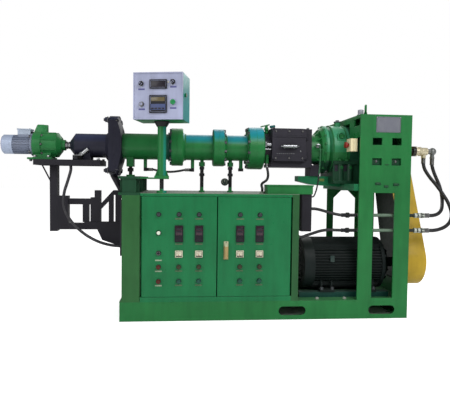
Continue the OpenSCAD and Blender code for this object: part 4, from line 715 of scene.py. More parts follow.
def inset_and_push(obj, test, thickness, depth):
    """Insets the chosen faces and moves the inner part along their normal."""
    make_active(obj)
    bpy.ops.object.mode_set(mode="EDIT")
    bpy.ops.mesh.select_mode(type="FACE")
    bpy.ops.mesh.select_all(action="DESELECT")
    select_faces(obj, test)
    bpy.ops.mesh.inset(thickness=thickness, depth=0.0)
    bpy.ops.mesh.inset(thickness=0.0001, depth=depth)
    bpy.ops.object.mode_set(mode="OBJECT")


def joined(name, parts):
    deselect_all()
    for part in parts:
        part.select_set(True)
    bpy.context.view_layer.objects.active = parts[0]
    if len(parts) > 1:
        bpy.ops.object.join()
    obj = bpy.context.object
    obj.name = name
    obj.data.name = name
    return obj


def dressed(obj, name, finish, body, smooth=35.0):
    obj.name = name
    obj.data.name = name
    obj.data.materials.clear()
    obj.data.materials.append(FINISHES[finish])
    make_active(obj)
    bpy.ops.object.shade_smooth_by_angle(angle=math.radians(smooth))
    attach(obj, body)
    return obj


def copies(master, places):
    """One mesh copy of a part, modelled at the origin along +Z, at each place and direction."""
    made = []
    for point, axis, turn in places:
        part = master.copy()
        part.data = master.data.copy()
        bpy.context.collection.objects.link(part)
        spin = Matrix.Rotation(turn, 4, "Z")
        aim = Vector((0, 0, 1)).rotation_difference(Vector(axis).normalized()).to_matrix().to_4x4()
        part.matrix_world = Matrix.Translation(Vector(point)) @ aim @ spin
        apply_place(part)
        made.append(part)
    bpy.data.objects.remove(master)
    return made


def cap(radius, height, dome, sides=28, rim=0.0018, sink=0.0008):
    """A push cap at the origin along +Z: a rounded top with a sunk middle."""
    obj = rod((0, 0, 0), Z, radius, height, sides=sides, width=dome)
    top = height - 0.0001
    inset_and_push(obj, lambda centre, normal: centre.z > top and normal.z > 0.9, rim, -sink)
    return obj


def collar(radius, inner, height, sides=32, width=0.0006):
    """A ring at the origin along +Z, its middle sunk almost to the foot."""
    obj = rod((0, 0, 0), Z, radius, height, sides=sides, width=0.0)
    top = height - 0.0001
    inset_and_push(obj, lambda centre, normal: centre.z > top and normal.z > 0.9, radius - inner, -height * 0.7)
    round_edges(obj, width, 2, 40.0)
    return obj


def hex_bolt(across, height, washer=True):
    """A bolt head with its washer, at the origin, standing along +Z."""
    head = rod((0, 0, 0), Z, across / 2, height, sides=6, width=across * 0.045)
    parts = [head]
    if washer:
        parts.append(rod((0, 0, 0), Z, across * 0.62, height * 0.22, sides=18, width=0.0))
    return joined("bolt_master", parts)


def ring_places(centre, axis, radius, count, first=0.0):
    """Evenly spaced points on a circle about an X axis, each facing along the axis."""
    places = []
    for k in range(count):
        angle = first + 2 * math.pi * k / count
        point = Vector(centre) + Vector((0, math.cos(angle), math.sin(angle))) * radius
        places.append((point, axis, angle))
    return places


# Operators

class EXTRUDER_OT_cords(bpy.types.Operator):
    """Hoses, the conduit and the cable, each along its route"""

    bl_idname = "extruder.cords"
    bl_label = "Hoses and cables"

    def execute(self, context):
        for name, route in ROUTES.items():
            self.lay(name, route, CORD_DIAMETER[name] * MM)
        return {"FINISHED"}

    def lay(self, name, route, diameter):
        points = [Vector(p) * MM for p in route]
        curve = bpy.data.curves.new(name + "_line", "CURVE")
        curve.dimensions = "3D"
        curve.bevel_depth = diameter / 2
        curve.bevel_resolution = 5
        curve.resolution_u = 8
        curve.use_fill_caps = True
        spline = curve.splines.new("BEZIER")
        spline.bezier_points.add(len(points) - 1)
        for k, point in enumerate(points):
            knot = spline.bezier_points[k]
            knot.co = point
            before = points[max(k - 1, 0)]
            after = points[min(k + 1, len(points) - 1)]
            along = (after - before).normalized()
            knot.handle_left_type = knot.handle_right_type = "FREE"
            knot.handle_left = point - along * (point - before).length / 3
            knot.handle_right = point + along * (after - point).length / 3
        obj = bpy.data.objects.new(name + "_cord", curve)
        bpy.context.collection.objects.link(obj)
        curve.materials.append(FINISHES[CORD_FINISH.get(name, "hose")])
        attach(obj, FRAME_BODY)
        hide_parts(name)


class EXTRUDER_OT_door_fittings(bpy.types.Operator):
    """Lamps, buttons, controllers, meters and blank label plates on both cabinet doors"""

    bl_idname = "extruder.door_fittings"
    bl_label = "Door fittings"

    def execute(self, context):
        lamp = context.scene.extruder_sizes.lamp / 2
        self.door("left", LEFT_COLUMNS, LEFT_DOOR, lamp)
        self.door("right", RIGHT_COLUMNS, RIGHT_DOOR, lamp)
        self.switches(lamp)
        self.handle()
        return {"FINISHED"}

    def door(self, side, columns, body, lamp):
        front = [(x, z) for x in columns for z in BUTTON_ROWS]
        collars = [(at(x, DOOR_Y - 3.4, z), -Y, 0.0) for x, z in front]
        collars += [(at(x, DOOR_Y - 3.4, LAMP_ROW), -Y, 0.0) for x in columns]
        dressed(joined(side + "_fitting_rings", copies(collar(lamp + 0.0008, lamp - 0.003, 0.0022), collars)),
                side + "_fitting_rings", "control_black", body)
        lenses = [(at(x, DOOR_Y - 4.2, LAMP_ROW), -Y, 0.0) for x in columns]
        dressed(joined(side + "_lamp_lenses", copies(cap(0.0106, 0.0118, 0.003), lenses)),
                side + "_lamp_lenses", "lamp_dark", body)
        for row, finish in zip(BUTTON_ROWS, ("button_dark", "button_green")):
            places = [(at(x, DOOR_Y - 4.2, row), -Y, 0.0) for x in columns]
            name = "%s_%s_caps" % (side, "upper" if row == BUTTON_ROWS[0] else "lower")
            dressed(joined(name, copies(cap(0.0124, 0.0152, 0.0026), places)), name, finish, body)
        self.controllers(side, columns, body)
        self.meters(side, columns, body)
        plates = [slab(x, LAMP_ROW - 25, 44, 9, DOOR_Y - 1.0, DOOR_Y + 0.4) for x in columns]
        plates += [slab(x, CONTROLLER_ROW - 60, 42, 9, DOOR_Y - 1.0, DOOR_Y + 0.4) for x in columns]
        plates += [slab(x, z - 24, 40, 8, DOOR_Y - 1.0, DOOR_Y + 0.4) for x in columns for z in BUTTON_ROWS]
        dressed(joined(side + "_label_plates", plates), side + "_label_plates", "label_dim", body)

    def controllers(self, side, columns, body):
        """Dark screens over keys, in the recess of each controller."""
        screens, keys, lines = [], [], []
        for x in columns:
            screens.append(slab(x, CONTROLLER_ROW + 17, 37, 50, DOOR_Y - 8.0, DOOR_Y - 6.6))
            keys.append(slab(x, CONTROLLER_ROW - 26, 37, 32, DOOR_Y - 7.8, DOOR_Y - 6.6))
            for dx in (-13, -4.4, 4.4, 13):
                lines.append(slab(x + dx, CONTROLLER_ROW - 34, 6, 8, DOOR_Y - 8.8, DOOR_Y - 7.4, 0.0008))
            for dz in (28, 10):
                lines.append(slab(x, CONTROLLER_ROW + dz + 2, 31, 12, DOOR_Y - 8.4, DOOR_Y - 7.4))
        dressed(joined(side + "_controller_screens", screens), side + "_controller_screens", "red_screen", body)
        dressed(joined(side + "_controller_panels", keys), side + "_controller_panels", "control_black", body)
        dressed(joined(side + "_controller_keys", lines), side + "_controller_keys", "screen", body)

    def meters(self, side, columns, body):
        """White dials in white frames, with a scale of short marks and a red needle."""
        faces, marks, needles = [], [], []
        for x in columns:
            frame_piece = slab(x, METER_ROW, 43.4, 39.4, DOOR_Y - 8.4, DOOR_Y - 1.0, 0.0014)
            inset_and_push(frame_piece, lambda centre, normal: normal.y < -0.9, 0.0035, -0.0018)
            faces.append(frame_piece)
            for k in range(7):
                angle = math.radians(150 - 20 * k)
                spot = at(x + 15 * math.cos(angle), DOOR_Y - 6.9, METER_ROW - 7 + 15 * math.sin(angle))
                mark = rod(spot, -Y, 0.0007, 0.0006, sides=8, width=0.0)
                marks.append(mark)
            marks.append(slab(x, METER_ROW - 13, 32, 6, DOOR_Y - 7.6, DOOR_Y - 6.4))
            needle = rod(at(x, DOOR_Y - 7.2, METER_ROW - 9), Vector((-0.45, 0, 1)), 0.0009, 0.017, sides=8,
                         width=0.0, top=0.0003)
            needles.append(needle)
            needles.append(rod(at(x, DOOR_Y - 8.0, METER_ROW - 9), Y, 0.0022, 0.0012, sides=14, width=0.0004))
        dressed(joined(side + "_meter_faces", faces), side + "_meter_faces", "dial", body)
        dressed(joined(side + "_meter_marks", marks), side + "_meter_marks", "control_black", body)
        dressed(joined(side + "_meter_needles", needles), side + "_meter_needles", "needle_red", body)

    def switches(self, lamp):
        """The single column at the left: a lamp, a pale lamp, a key switch and two red buttons."""
        x = SWITCH_COLUMN
        rows = SWITCH_ROWS + BUTTON_ROWS
        rings = [(at(x, DOOR_Y - 3.4, z), -Y, 0.0) for z in rows]
        dressed(joined("switch_rings", copies(collar(lamp + 0.0008, lamp - 0.003, 0.0022), rings)),
                "switch_rings", "control_black", LEFT_DOOR)
        for name, z, finish in (("switch_lamp", SWITCH_ROWS[0], "lamp_dark"),
                                ("switch_pale_lamp", SWITCH_ROWS[1], "lamp_pale")):
            piece = copies(cap(0.0110, 0.0122, 0.004), [(at(x, DOOR_Y - 4.2, z), -Y, 0.0)])[0]
            dressed(piece, name, finish, LEFT_DOOR)
        spot = at(x, DOOR_Y - 4.2, SWITCH_ROWS[2])
        lock = copies(collar(0.0112, 0.0074, 0.0112), [(spot, -Y, 0.0)])
        dressed(joined("key_switch", lock), "key_switch", "steel_dark", LEFT_DOOR)
        slot_piece = block(at(x - 1.4, DOOR_Y - 15.2, SWITCH_ROWS[2] - 6),
                           at(x + 1.4, DOOR_Y - 6.0, SWITCH_ROWS[2] + 6), 0.0004)
        dressed(slot_piece, "key_slot", "control_black", LEFT_DOOR)
        places = [(at(x, DOOR_Y - 4.2, z), -Y, 0.0) for z in BUTTON_ROWS]
        dressed(joined("switch_caps", copies(cap(0.0128, 0.0152, 0.003), places)), "switch_caps", "button_red",
                LEFT_DOOR)
        plates = [slab(x, SWITCH_ROWS[2] - 42, 38, 8, DOOR_Y - 1.0, DOOR_Y + 0.4)]
        plates += [slab(x, z - 25, 38, 8, DOOR_Y - 1.0, DOOR_Y + 0.4) for z in BUTTON_ROWS]
        dressed(joined("switch_label_plates", plates), "switch_label_plates", "label_pale", LEFT_DOOR)

    def handle(self):
        """A lock below the grip and the screws of its plate."""
        x, z = HANDLE
        parts = copies(collar(0.0085, 0.0052, 0.0030), [(at(x, DOOR_Y - 7.0, z - 40), -Y, 0.0)])
        dressed(joined("handle_lock", parts), "handle_lock", "brass", RIGHT_DOOR)
        screws = [rod(at(x, DOOR_Y - 6.2, z + dz), -Y, 0.0031, 0.0022, sides=18, width=0.0006) for dz in (-46, 46)]
        dressed(joined("handle_screws", screws), "handle_screws", "steel", RIGHT_DOOR)


class EXTRUDER_OT_panel_fittings(bpy.types.Operator):
    """Screens, keys, knobs, lamp and blank label strips of the control box"""

    bl_idname = "extruder.panel_fittings"
    bl_label = "Control box fittings"

    def execute(self, context):
        self.screens()
        self.knobs()
        strips = [self.strip(47, 166, 36), self.strip(227, 178, 36), self.strip(49, 56, 36),
                  self.strip(227, 62, 36)]
        self.place(joined("panel_label_strips", strips), "panel_label_strips", "label_blue", "panel_grey")
        self.lock()
        return {"FINISHED"}

    def place(self, obj, name, finish, slot):
        carried(obj, BOX_PLACE)
        dressed(obj, name, finish, FRAME_BODY)

    def strip(self, u, v, width):
        return block(at(u - width / 2, 2.2, v - 4.5), at(u + width / 2, 3.2, v + 4.5), 0.0004)

    def screens(self):
        display = block(at(101.5, -5.4, 175.5), at(184.5, -3.8, 210.5), 0.0006)
        self.place(display, "display_glass", "screen", "control_plastic")
        amber = block(at(103, -5.4, 99), at(181, -3.8, 121), 0.0005)
        self.place(amber, "controller_amber", "amber_screen", "control_plastic")
        rims = []
        for low, high in (((95, 169), (191, 217)), ((95, 36), (191, 132))):
            rim = block(at(low[0] - 1, -6.8, low[1] - 1), at(high[0] + 1, 2.6, high[1] + 1), 0.0012)
            inset_and_push(rim, lambda centre, normal: normal.y < -0.9, 0.0055, -0.0024)
            rims.append(rim)
        self.place(joined("instrument_rims", rims), "instrument_rims", "control_black", "control_plastic")
        pad = block(at(99, -7.0, 51), at(187, -4.0, 84), 0.0008)
        self.place(pad, "controller_pad", "key_blue", "panel_grey")
        keys = [block(at(104 + 20 * k, -8.0, 55), at(119 + 20 * k, -6.6, 63), 0.0008) for k in range(4)]
        self.place(joined("controller_keys", keys), "controller_keys", "screen", "control_plastic")

    def knobs(self):
        spots = ((47, 196), (225, 204), (49, 83), (227, 94))
        rings = [(at(u, -2.8, v), -Y, 0.0) for u, v in spots]
        self.place(joined("knob_rings", copies(collar(0.0152, 0.0116, 0.0016), rings)), "knob_rings",
                   "chrome", "steel")
        grips = []
        for k, (u, v) in enumerate(spots[:2]):
            grips.append(copies(cap(0.0122, 0.0125, 0.0022, sides=20), [(at(u, -3.0, v), -Y, 0.0)])[0])
            turn = Matrix.Rotation(math.radians(35 if k == 0 else -40), 4, "Y")
            bar = block(at(-3.2, -19.6, -13.5), at(3.2, -13.0, 13.5), 0.0016)
            grips.append(carried(bar, Matrix.Translation(at(u, 0, v)) @ turn))
        self.place(joined("selector_grips", grips), "selector_grips", "control_black", "control_plastic")
        lock = copies(collar(0.0118, 0.0080, 0.0124), [(at(49, -3.0, 83), -Y, 0.0)])
        self.place(joined("panel_key_ring", lock), "panel_key_ring", "steel_dark", "steel")
        core = [rod(at(49, -2.0, 83), -Y, 0.0078, 0.0128, sides=24, width=0.0006),
                block(at(47.8, -16.2, 77.5), at(50.2, -14.0, 88.5), 0.0004)]
        self.place(joined("panel_key_core", core), "panel_key_core", "control_black", "control_plastic")
        green = copies(cap(0.0152, 0.0140, 0.0045, rim=0.0024), [(at(227, -3.0, 94), -Y, 0.0)])[0]
        self.place(green, "panel_start_cap", "cap_green", "control_plastic")
        lamp = copies(cap(0.0042, 0.0060, 0.0016, sides=18, rim=0.001, sink=0.0003),
                      [(at(199, 3.0, 204), -Y, 0.0)])[0]
        self.place(lamp, "panel_white_lamp", "dial", "panel_grey")

    def lock(self):
        """Quarter-turn lock on the box's right side."""
        parts = copies(collar(0.0122, 0.0086, 0.0030), [(at(289.0, 56, 140), X, 0.0)])
        self.place(joined("box_lock_ring", parts), "box_lock_ring", "chrome", "steel")
        tongue = block(at(289.5, 50, 138.4), at(293.5, 62, 141.6), 0.0008)
        self.place(tongue, "box_lock_tongue", "brass", "brass")


class EXTRUDER_OT_barrel_fittings(bpy.types.Operator):
    """Flange bolts, weld beads and pipe fittings along the barrel"""

    bl_idname = "extruder.barrel_fittings"
    bl_label = "Barrel fittings"

    def execute(self, context):
        across = context.scene.extruder_sizes.bolt
        self.flange_bolts(across)
        self.welds()
        self.unions()
        self.gauge()
        self.valve()
        return {"FINISHED"}

    def flange_bolts(self, across):
        centre = at(0, 0, AXIS_Z)
        places = []
        for x, axis, radius, count in ((-569, -X, 0.106, 12), (-243, X, 0.106, 12), (-84, -X, 0.122, 12)):
            places += [(p + at(x, 0, 0), a, t) for p, a, t in
                       ring_places(centre, axis, radius, count, math.radians(15))]
        dressed(joined("flange_bolts", copies(hex_bolt(across, across * 0.62), places)), "flange_bolts",
                "bolt_dark", FRAME_BODY)
        studs = [(p + at(-903, 0, 0), X, t) for p, a, t in
                 ring_places(centre, X, 0.140, 12, math.radians(15)) if abs(p.y) < 0.08]
        dressed(joined("clamp_ring_bolts", copies(hex_bolt(across * 0.9, across * 0.8), studs)),
                "clamp_ring_bolts", "bolt_dark", FRAME_BODY)

    def welds(self):
        """Beads round the barrel where each flange meets it."""
        beads = []
        for x, radius in ((-588.5, 0.0885), (-484, 0.0815), (-310.5, 0.0825), (-224, 0.0815), (-90.5, 0.0825)):
            deselect_all()
            bpy.ops.mesh.primitive_torus_add(
                location=at(x, 0, AXIS_Z), rotation=(0.0, math.radians(90), 0.0), major_radius=radius,
                minor_radius=0.0038, major_segments=72, minor_segments=8)
            ring = bpy.context.object
            apply_place(ring)
            beads.append(ring)
        dressed(joined("barrel_weld_beads", beads), "barrel_weld_beads", "barrel_green", FRAME_BODY)

    def unions(self):
        """Nuts and sleeves on the risers and the hose ends under the barrel."""
        nuts = []
        for x in (-378, -196):
            nuts += [(at(x, 0, 884), Z, 0.0), (at(x, 0, 842), Z, 0.3)]
        rings = copies(self.sleeve_nut(0.0175, 0.018), nuts)
        dressed(joined("riser_nuts", rings), "riser_nuts", "control_black", FRAME_BODY)
        ends = [(at(-716, 0, 880), X, 0.0), (at(-458, 0, 880), -X, 0.0)]
        sleeves = copies(self.crimp(0.0102, 0.028), ends)
        dressed(joined("jumper_sleeves", sleeves), "jumper_sleeves", "steel_dark", FRAME_BODY)
        dressed(copies(self.crimp(0.0112, 0.024), [(at(30, -75, 925), -Z, 0.0)])[0], "feed_hose_sleeve",
                "steel", FRAME_BODY)

    def sleeve_nut(self, radius, height):
        return rod((0, 0, 0), Z, radius, height, sides=6, width=0.0012)

    def crimp(self, radius, length):
        """A crimped hose sleeve at the origin along +Z, pinched in three rings."""
        obj = rod((0, 0, 0), Z, radius, length, sides=24, width=0.0)
        make_active(obj)
        bpy.ops.object.mode_set(mode="EDIT")
        bpy.ops.mesh.select_all(action="DESELECT")
        bpy.ops.mesh.select_mode(type="EDGE")
        select_edges(obj, lambda a, b: abs(a.z - b.z) > length * 0.9)
        bpy.ops.mesh.subdivide(number_cuts=7, quadcorner="INNERVERT")
        bpy.ops.mesh.select_mode(type="VERT")
        select_points(obj, lambda p: round(p.z / length * 8) in (2, 4, 6))
        bpy.ops.transform.resize(value=(0.88, 0.88, 1.0), center_override=(0, 0, length / 2))
        bpy.ops.object.mode_set(mode="OBJECT")
        return obj

    def gauge(self):
        """Dial, generic marks, needle and glass rim of the round gauge."""
        low, high = (Vector(c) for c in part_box("pressure_gauge"))
        centre = Vector((-0.236, low.y, 0.806))
        face = copies(collar(0.0236, 0.0200, 0.0050, sides=40), [(centre + Vector((0, 0.002, 0)), -Y, 0.0)])[0]
        dressed(face, "gauge_rim", "gauge_black", FRAME_BODY)
        dial = rod(centre, -Y, 0.0192, 0.0008, sides=40, width=0.0003)
        dressed(dial, "gauge_dial", "gauge_face", FRAME_BODY)
        marks = []
        for k in range(11):
            angle = math.radians(225 - 27 * k)
            reach = Vector((math.cos(angle), 0, math.sin(angle)))
            marks.append(rod(centre + reach * 0.0140 + Vector((0, -0.0010, 0)), reach, 0.0005, 0.0034, sides=6,
                             width=0.0))
        needle = rod(centre + Vector((0, -0.0014, 0)), Vector((-0.5, 0, 1)), 0.0008, 0.013, sides=8, width=0.0,
                     top=0.0003)
        marks.append(needle)
        dressed(joined("gauge_marks", marks), "gauge_marks", "dial", FRAME_BODY)

    def valve(self):
        """Grip sleeve on the valve's lever."""
        grip = rod(at(58, 0, 1163), Vector((1.0, 0, 0.19)), 0.0085, 0.034, sides=20, width=0.002)
        dressed(grip, "valve_grip", "grip_teal", FRAME_BODY)


class EXTRUDER_OT_head_fittings(bpy.types.Operator):
    """Swing bolt threads and washers, table bolts, reducer and little motor fittings"""

    bl_idname = "extruder.head_fittings"
    bl_label = "Head and drive fittings"

    def execute(self, context):
        self.swing_bolts()
        self.little_motor()
        self.table()
        self.sensor_lead()
        stay = [rod(at(-936, y, 846), Vector((50, 0, -92)), 0.019, 0.112, sides=4, width=0.002)
                for y in (-22, 22)]
        dressed(joined("head_stay", stay), "head_stay", "frame_black", FRAME_BODY)
        return {"FINISHED"}

    def swing_bolts(self):
        centre = at(0, 0, AXIS_Z)
        ring = [(p, t) for p, a, t in ring_places(centre, X, 0.178, 6, 0.0)
                if abs(p.y) < HEAD_FLAT * MM]
        washers = copies(collar(0.0205, 0.0095, 0.004, sides=28), [(p + at(-953.4, 0, 0), -X, t)
                                                                   for p, t in ring])
        dressed(joined("swing_bolt_washers", washers), "swing_bolt_washers", "steel_dark", FRAME_BODY)
        threads = []
        for p, t in ring:
            for k in range(4):
                threads.append((p + at(-980 + 2.3 * k, 0, 0), X, t))
        rings = copies(rod((0, 0, 0), Z, 0.0097, 0.0012, sides=18, width=0.0004), threads)
        dressed(joined("swing_bolt_threads", rings), "swing_bolt_threads", "steel_dark", FRAME_BODY)
        pins = []
        for p, t in ring:
            along = Vector((0, -math.sin(t), math.cos(t)))
            pins.append(rod(p + at(-902, 0, 0) - along * 0.0165, along, 0.0062, 0.033, sides=18, width=0.001))
        dressed(joined("swing_bolt_pins", pins), "swing_bolt_pins", "steel_dark", FRAME_BODY)

    def little_motor(self):
        centre = at(0, 0, AXIS_Z)
        places = [(p + at(-1427, 0, 0), -X, t) for p, a, t in ring_places(centre, X, 0.065, 4, math.radians(45))]
        places += [(p + at(-1361, 0, 0), X, t) for p, a, t in ring_places(centre, X, 0.0755, 8, 0.0)]
        dressed(joined("reducer_bolts", copies(hex_bolt(0.015, 0.009), places)), "reducer_bolts", "steel_dark",
                FRAME_BODY)
        vents = []
        for k in range(14):
            angle = 2 * math.pi * k / 14
            side = Vector((0, math.cos(angle), math.sin(angle)))
            vents.append(rod(centre + at(-1601.4, 0, 0) + side * 0.026, side, 0.0026, 0.022, sides=8,
                             width=0.0))
        dressed(joined("cowl_vents", vents), "cowl_vents", "screen", FRAME_BODY)
        band = [rod(centre + at(x, 0, 0), X, 0.0594, 0.003, sides=56, width=0.0006) for x in (-1538, -1554)]
        dressed(joined("cowl_bands", band), "cowl_bands", "cast_aluminium", FRAME_BODY)
        low, high = (Vector(c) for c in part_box("head_motor"))
        top = high.z
        screws = [(Vector((x, y, top - 0.0006)), Z, 0.0) for x in (-1.505, -1.434) for y in (-0.028, 0.028)]
        dressed(joined("terminal_screws", copies(cap(0.004, 0.0026, 0.001, sides=16), screws)),
                "terminal_screws", "steel", FRAME_BODY)
        gland = [rod(at(-1432, -16, 1094), X, 0.0105, 0.010, sides=6, width=0.001),
                 rod(at(-1424, -16, 1094), X, 0.0078, 0.009, sides=20, width=0.002)]
        dressed(joined("terminal_gland", gland), "terminal_gland", "control_black", FRAME_BODY)
        self.lifting_lug()

    def lifting_lug(self):
        """The reducer's cast top lug, which narrows upwards along the screw too."""
        lug = block(at(-1418, -27, 1086), at(-1330, 27, 1147), 0.0)
        make_active(lug)
        bpy.ops.object.mode_set(mode="EDIT")
        bpy.ops.mesh.select_mode(type="VERT")
        bpy.ops.mesh.select_all(action="DESELECT")
        select_points(lug, lambda p: p.z > 1.14)
        bpy.ops.transform.resize(value=(0.5, 0.6, 1.0), center_override=(-1.372, 0, 1.147))
        bpy.ops.object.mode_set(mode="OBJECT")
        round_edges(lug, 0.006, 3)
        dressed(lug, "reducer_top_lug", "green", FRAME_BODY)
        low, high = (Vector(c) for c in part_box("motor_table"))
        foot = block((-1.440, -0.075, high.z), (-1.392, 0.075, high.z + 0.012), 0.003)
        dressed(foot, "reducer_foot_lug", "green", FRAME_BODY)
        bolt = copies(hex_bolt(0.019, 0.012), [(Vector((-1.422, y, high.z)), -Z, 0.2) for y in (-0.055, 0.055)])
        dressed(joined("reducer_foot_bolts", bolt), "reducer_foot_bolts", "bolt_dark", FRAME_BODY)

    def table(self):
        low, high = (Vector(c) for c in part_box("motor_table"))
        top = high.z
        places = [(Vector((x, y, top)), Z, 0.2) for x in (-1.012, -1.140) for y in (-0.095, 0.095)]
        places += [(Vector((x, y, top + 0.0140)), Z, 0.4) for x in (-1.396, -1.316) for y in (-0.058, 0.058)]
        dressed(joined("table_bolts", copies(hex_bolt(0.019, 0.012), places)), "table_bolts", "steel",
                FRAME_BODY)

    def sensor_lead(self):
        """The small plate at the foot of the slanted sensor."""
        low, high = (Vector(c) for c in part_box("head_sensor"))
        tail = block((low.x + 0.004, low.y - 0.002, low.z + 0.004), (low.x + 0.030, low.y + 0.001, low.z + 0.022),
                     0.001)
        dressed(tail, "sensor_plate", "control_black", FRAME_BODY)


class EXTRUDER_OT_feed_fittings(bpy.types.Operator):
    """Screws, dots, trims and grip flanges of the feed cover, and the feed section's fittings"""

    bl_idname = "extruder.feed_fittings"
    bl_label = "Feed section fittings"

    def execute(self, context):
        face = -130.3
        screws = [(at(x, face + 0.6, z), -Y, 0.4) for x in (74, 158, 242) for z in (959, 1126)]
        dressed(joined("cover_screws", copies(self.socket_screw(0.0058, 0.0052), screws)), "cover_screws",
                "steel_dark", COVER)
        dots = [rod(at(84 + 13 * k, face + 0.4, 987), -Y, 0.0026, 0.0014, sides=12, width=0.0004)
                for k in range(9)]
        dots.append(rod(at(231, face + 0.4, 1003), -Y, 0.0042, 0.0024, sides=16, width=0.0008))
        dressed(joined("cover_dots", dots), "cover_dots", "steel", COVER)
        trims = [slab(158, 1102, 196, 3, face - 0.8, face + 0.6), slab(158, 970, 196, 2.4, face - 0.8, face + 0.6)]
        dressed(joined("cover_trims", trims), "cover_trims", "cover_black", COVER)
        flanges = [(at(x, face + 0.4, 1031), -Y, 0.0) for x in (128, 188)]
        dressed(joined("grip_flanges", copies(collar(0.0120, 0.0070, 0.0040), flanges)), "grip_flanges",
                "chrome", COVER)
        heads = [(at(280, -66, z), -Y, 0.2) for z in (930, 1010, 1095)]
        heads += [(at(72, y, 1144), Z, 0.1) for y in (-60, 0, 60)] + [(at(292, y, 1144), Z, 0.1)
                                                                     for y in (-60, 0, 60)]
        dressed(joined("housing_bolts", copies(hex_bolt(0.018, 0.011), heads[3:])), "housing_bolts", "bolt_dark",
                FRAME_BODY)
        connector = [rod(at(345, -124, 1040), -Y, 0.0118, 0.007, sides=6, width=0.0008),
                     rod(at(345, -103, 1040), -Y, 0.0126, 0.004, sides=28, width=0.0008)]
        dressed(joined("sensor_nuts", connector), "sensor_nuts", "chrome", FRAME_BODY)
        return {"FINISHED"}

    def socket_screw(self, radius, height):
        """A cap screw with a round socket, at the origin along +Z."""
        obj = rod((0, 0, 0), Z, radius, height, sides=24, width=0.0)
        top = height - 0.0001
        inset_and_push(obj, lambda centre, normal: centre.z > top and normal.z > 0.9, radius * 0.45,
                       -height * 0.5)
        round_edges(obj, radius * 0.1, 2, 40.0)
        return obj


class EXTRUDER_OT_gearbox_fittings(bpy.types.Operator):
    """Bolts, beads, filler cap, arch ring and foot fittings of the gearbox"""

    bl_idname = "extruder.gearbox_fittings"
    bl_label = "Gearbox fittings"

    def execute(self, context):
        centre = at(0, 0, AXIS_Z)
        places = [(p + at(396, 0, 0), -X, t) for p, a, t in ring_places(centre, X, 0.141, 16, math.radians(11))]
        dressed(joined("bell_bolts", copies(hex_bolt(0.021, 0.013), places)), "bell_bolts", "bolt_green",
                FRAME_BODY)
        seam = []
        for x, radius in ((436, 0.1545), (520, 0.1545)):
            deselect_all()
            bpy.ops.mesh.primitive_torus_add(
                location=at(x, 0, AXIS_Z), rotation=(0.0, math.radians(90), 0.0), major_radius=radius,
                minor_radius=0.0035, major_segments=96, minor_segments=8)
            apply_place(bpy.context.object)
            seam.append(bpy.context.object)
        dressed(joined("case_beads", seam), "case_beads", "green", FRAME_BODY)
        filler = [rod(at(502, 0, 1199.5), Z, 0.023, 0.008, sides=32, width=0.002),
                  rod(at(502, 0, 1207), Z, 0.012, 0.009, sides=6, width=0.0012)]
        dressed(joined("filler_cap", filler), "filler_cap", "bolt_dark", FRAME_BODY)
        glass = copies(collar(0.015, 0.0105, 0.006), [(at(486, -147, 1100), -Y, 0.0)])
        dressed(joined("arch_ring", glass), "arch_ring", "green", FRAME_BODY)
        feet = [(at(x, -146, 945), Z, 0.3) for x in (478, 522)]
        dressed(joined("foot_boss_bolts", copies(hex_bolt(0.024, 0.015), feet)), "foot_boss_bolts",
                "bolt_green", FRAME_BODY)
        # Thin black plates stand in for the two foot pockets, as painted shade of the recesses.
        pockets = [slab(x, 902, width, 40, -141.2, -139.6, 0.002) for x, width in ((459, 26), (515, 26))]
        dressed(joined("foot_pockets", pockets), "foot_pockets", "cover_black", FRAME_BODY)
        caps = [(at(x, -153.4, 906), -Y, 0.0) for x in (486, 544)]
        dressed(joined("foot_boss_caps", copies(cap(0.0105, 0.006, 0.002), caps)), "foot_boss_caps",
                "bolt_green", FRAME_BODY)
        return {"FINISHED"}


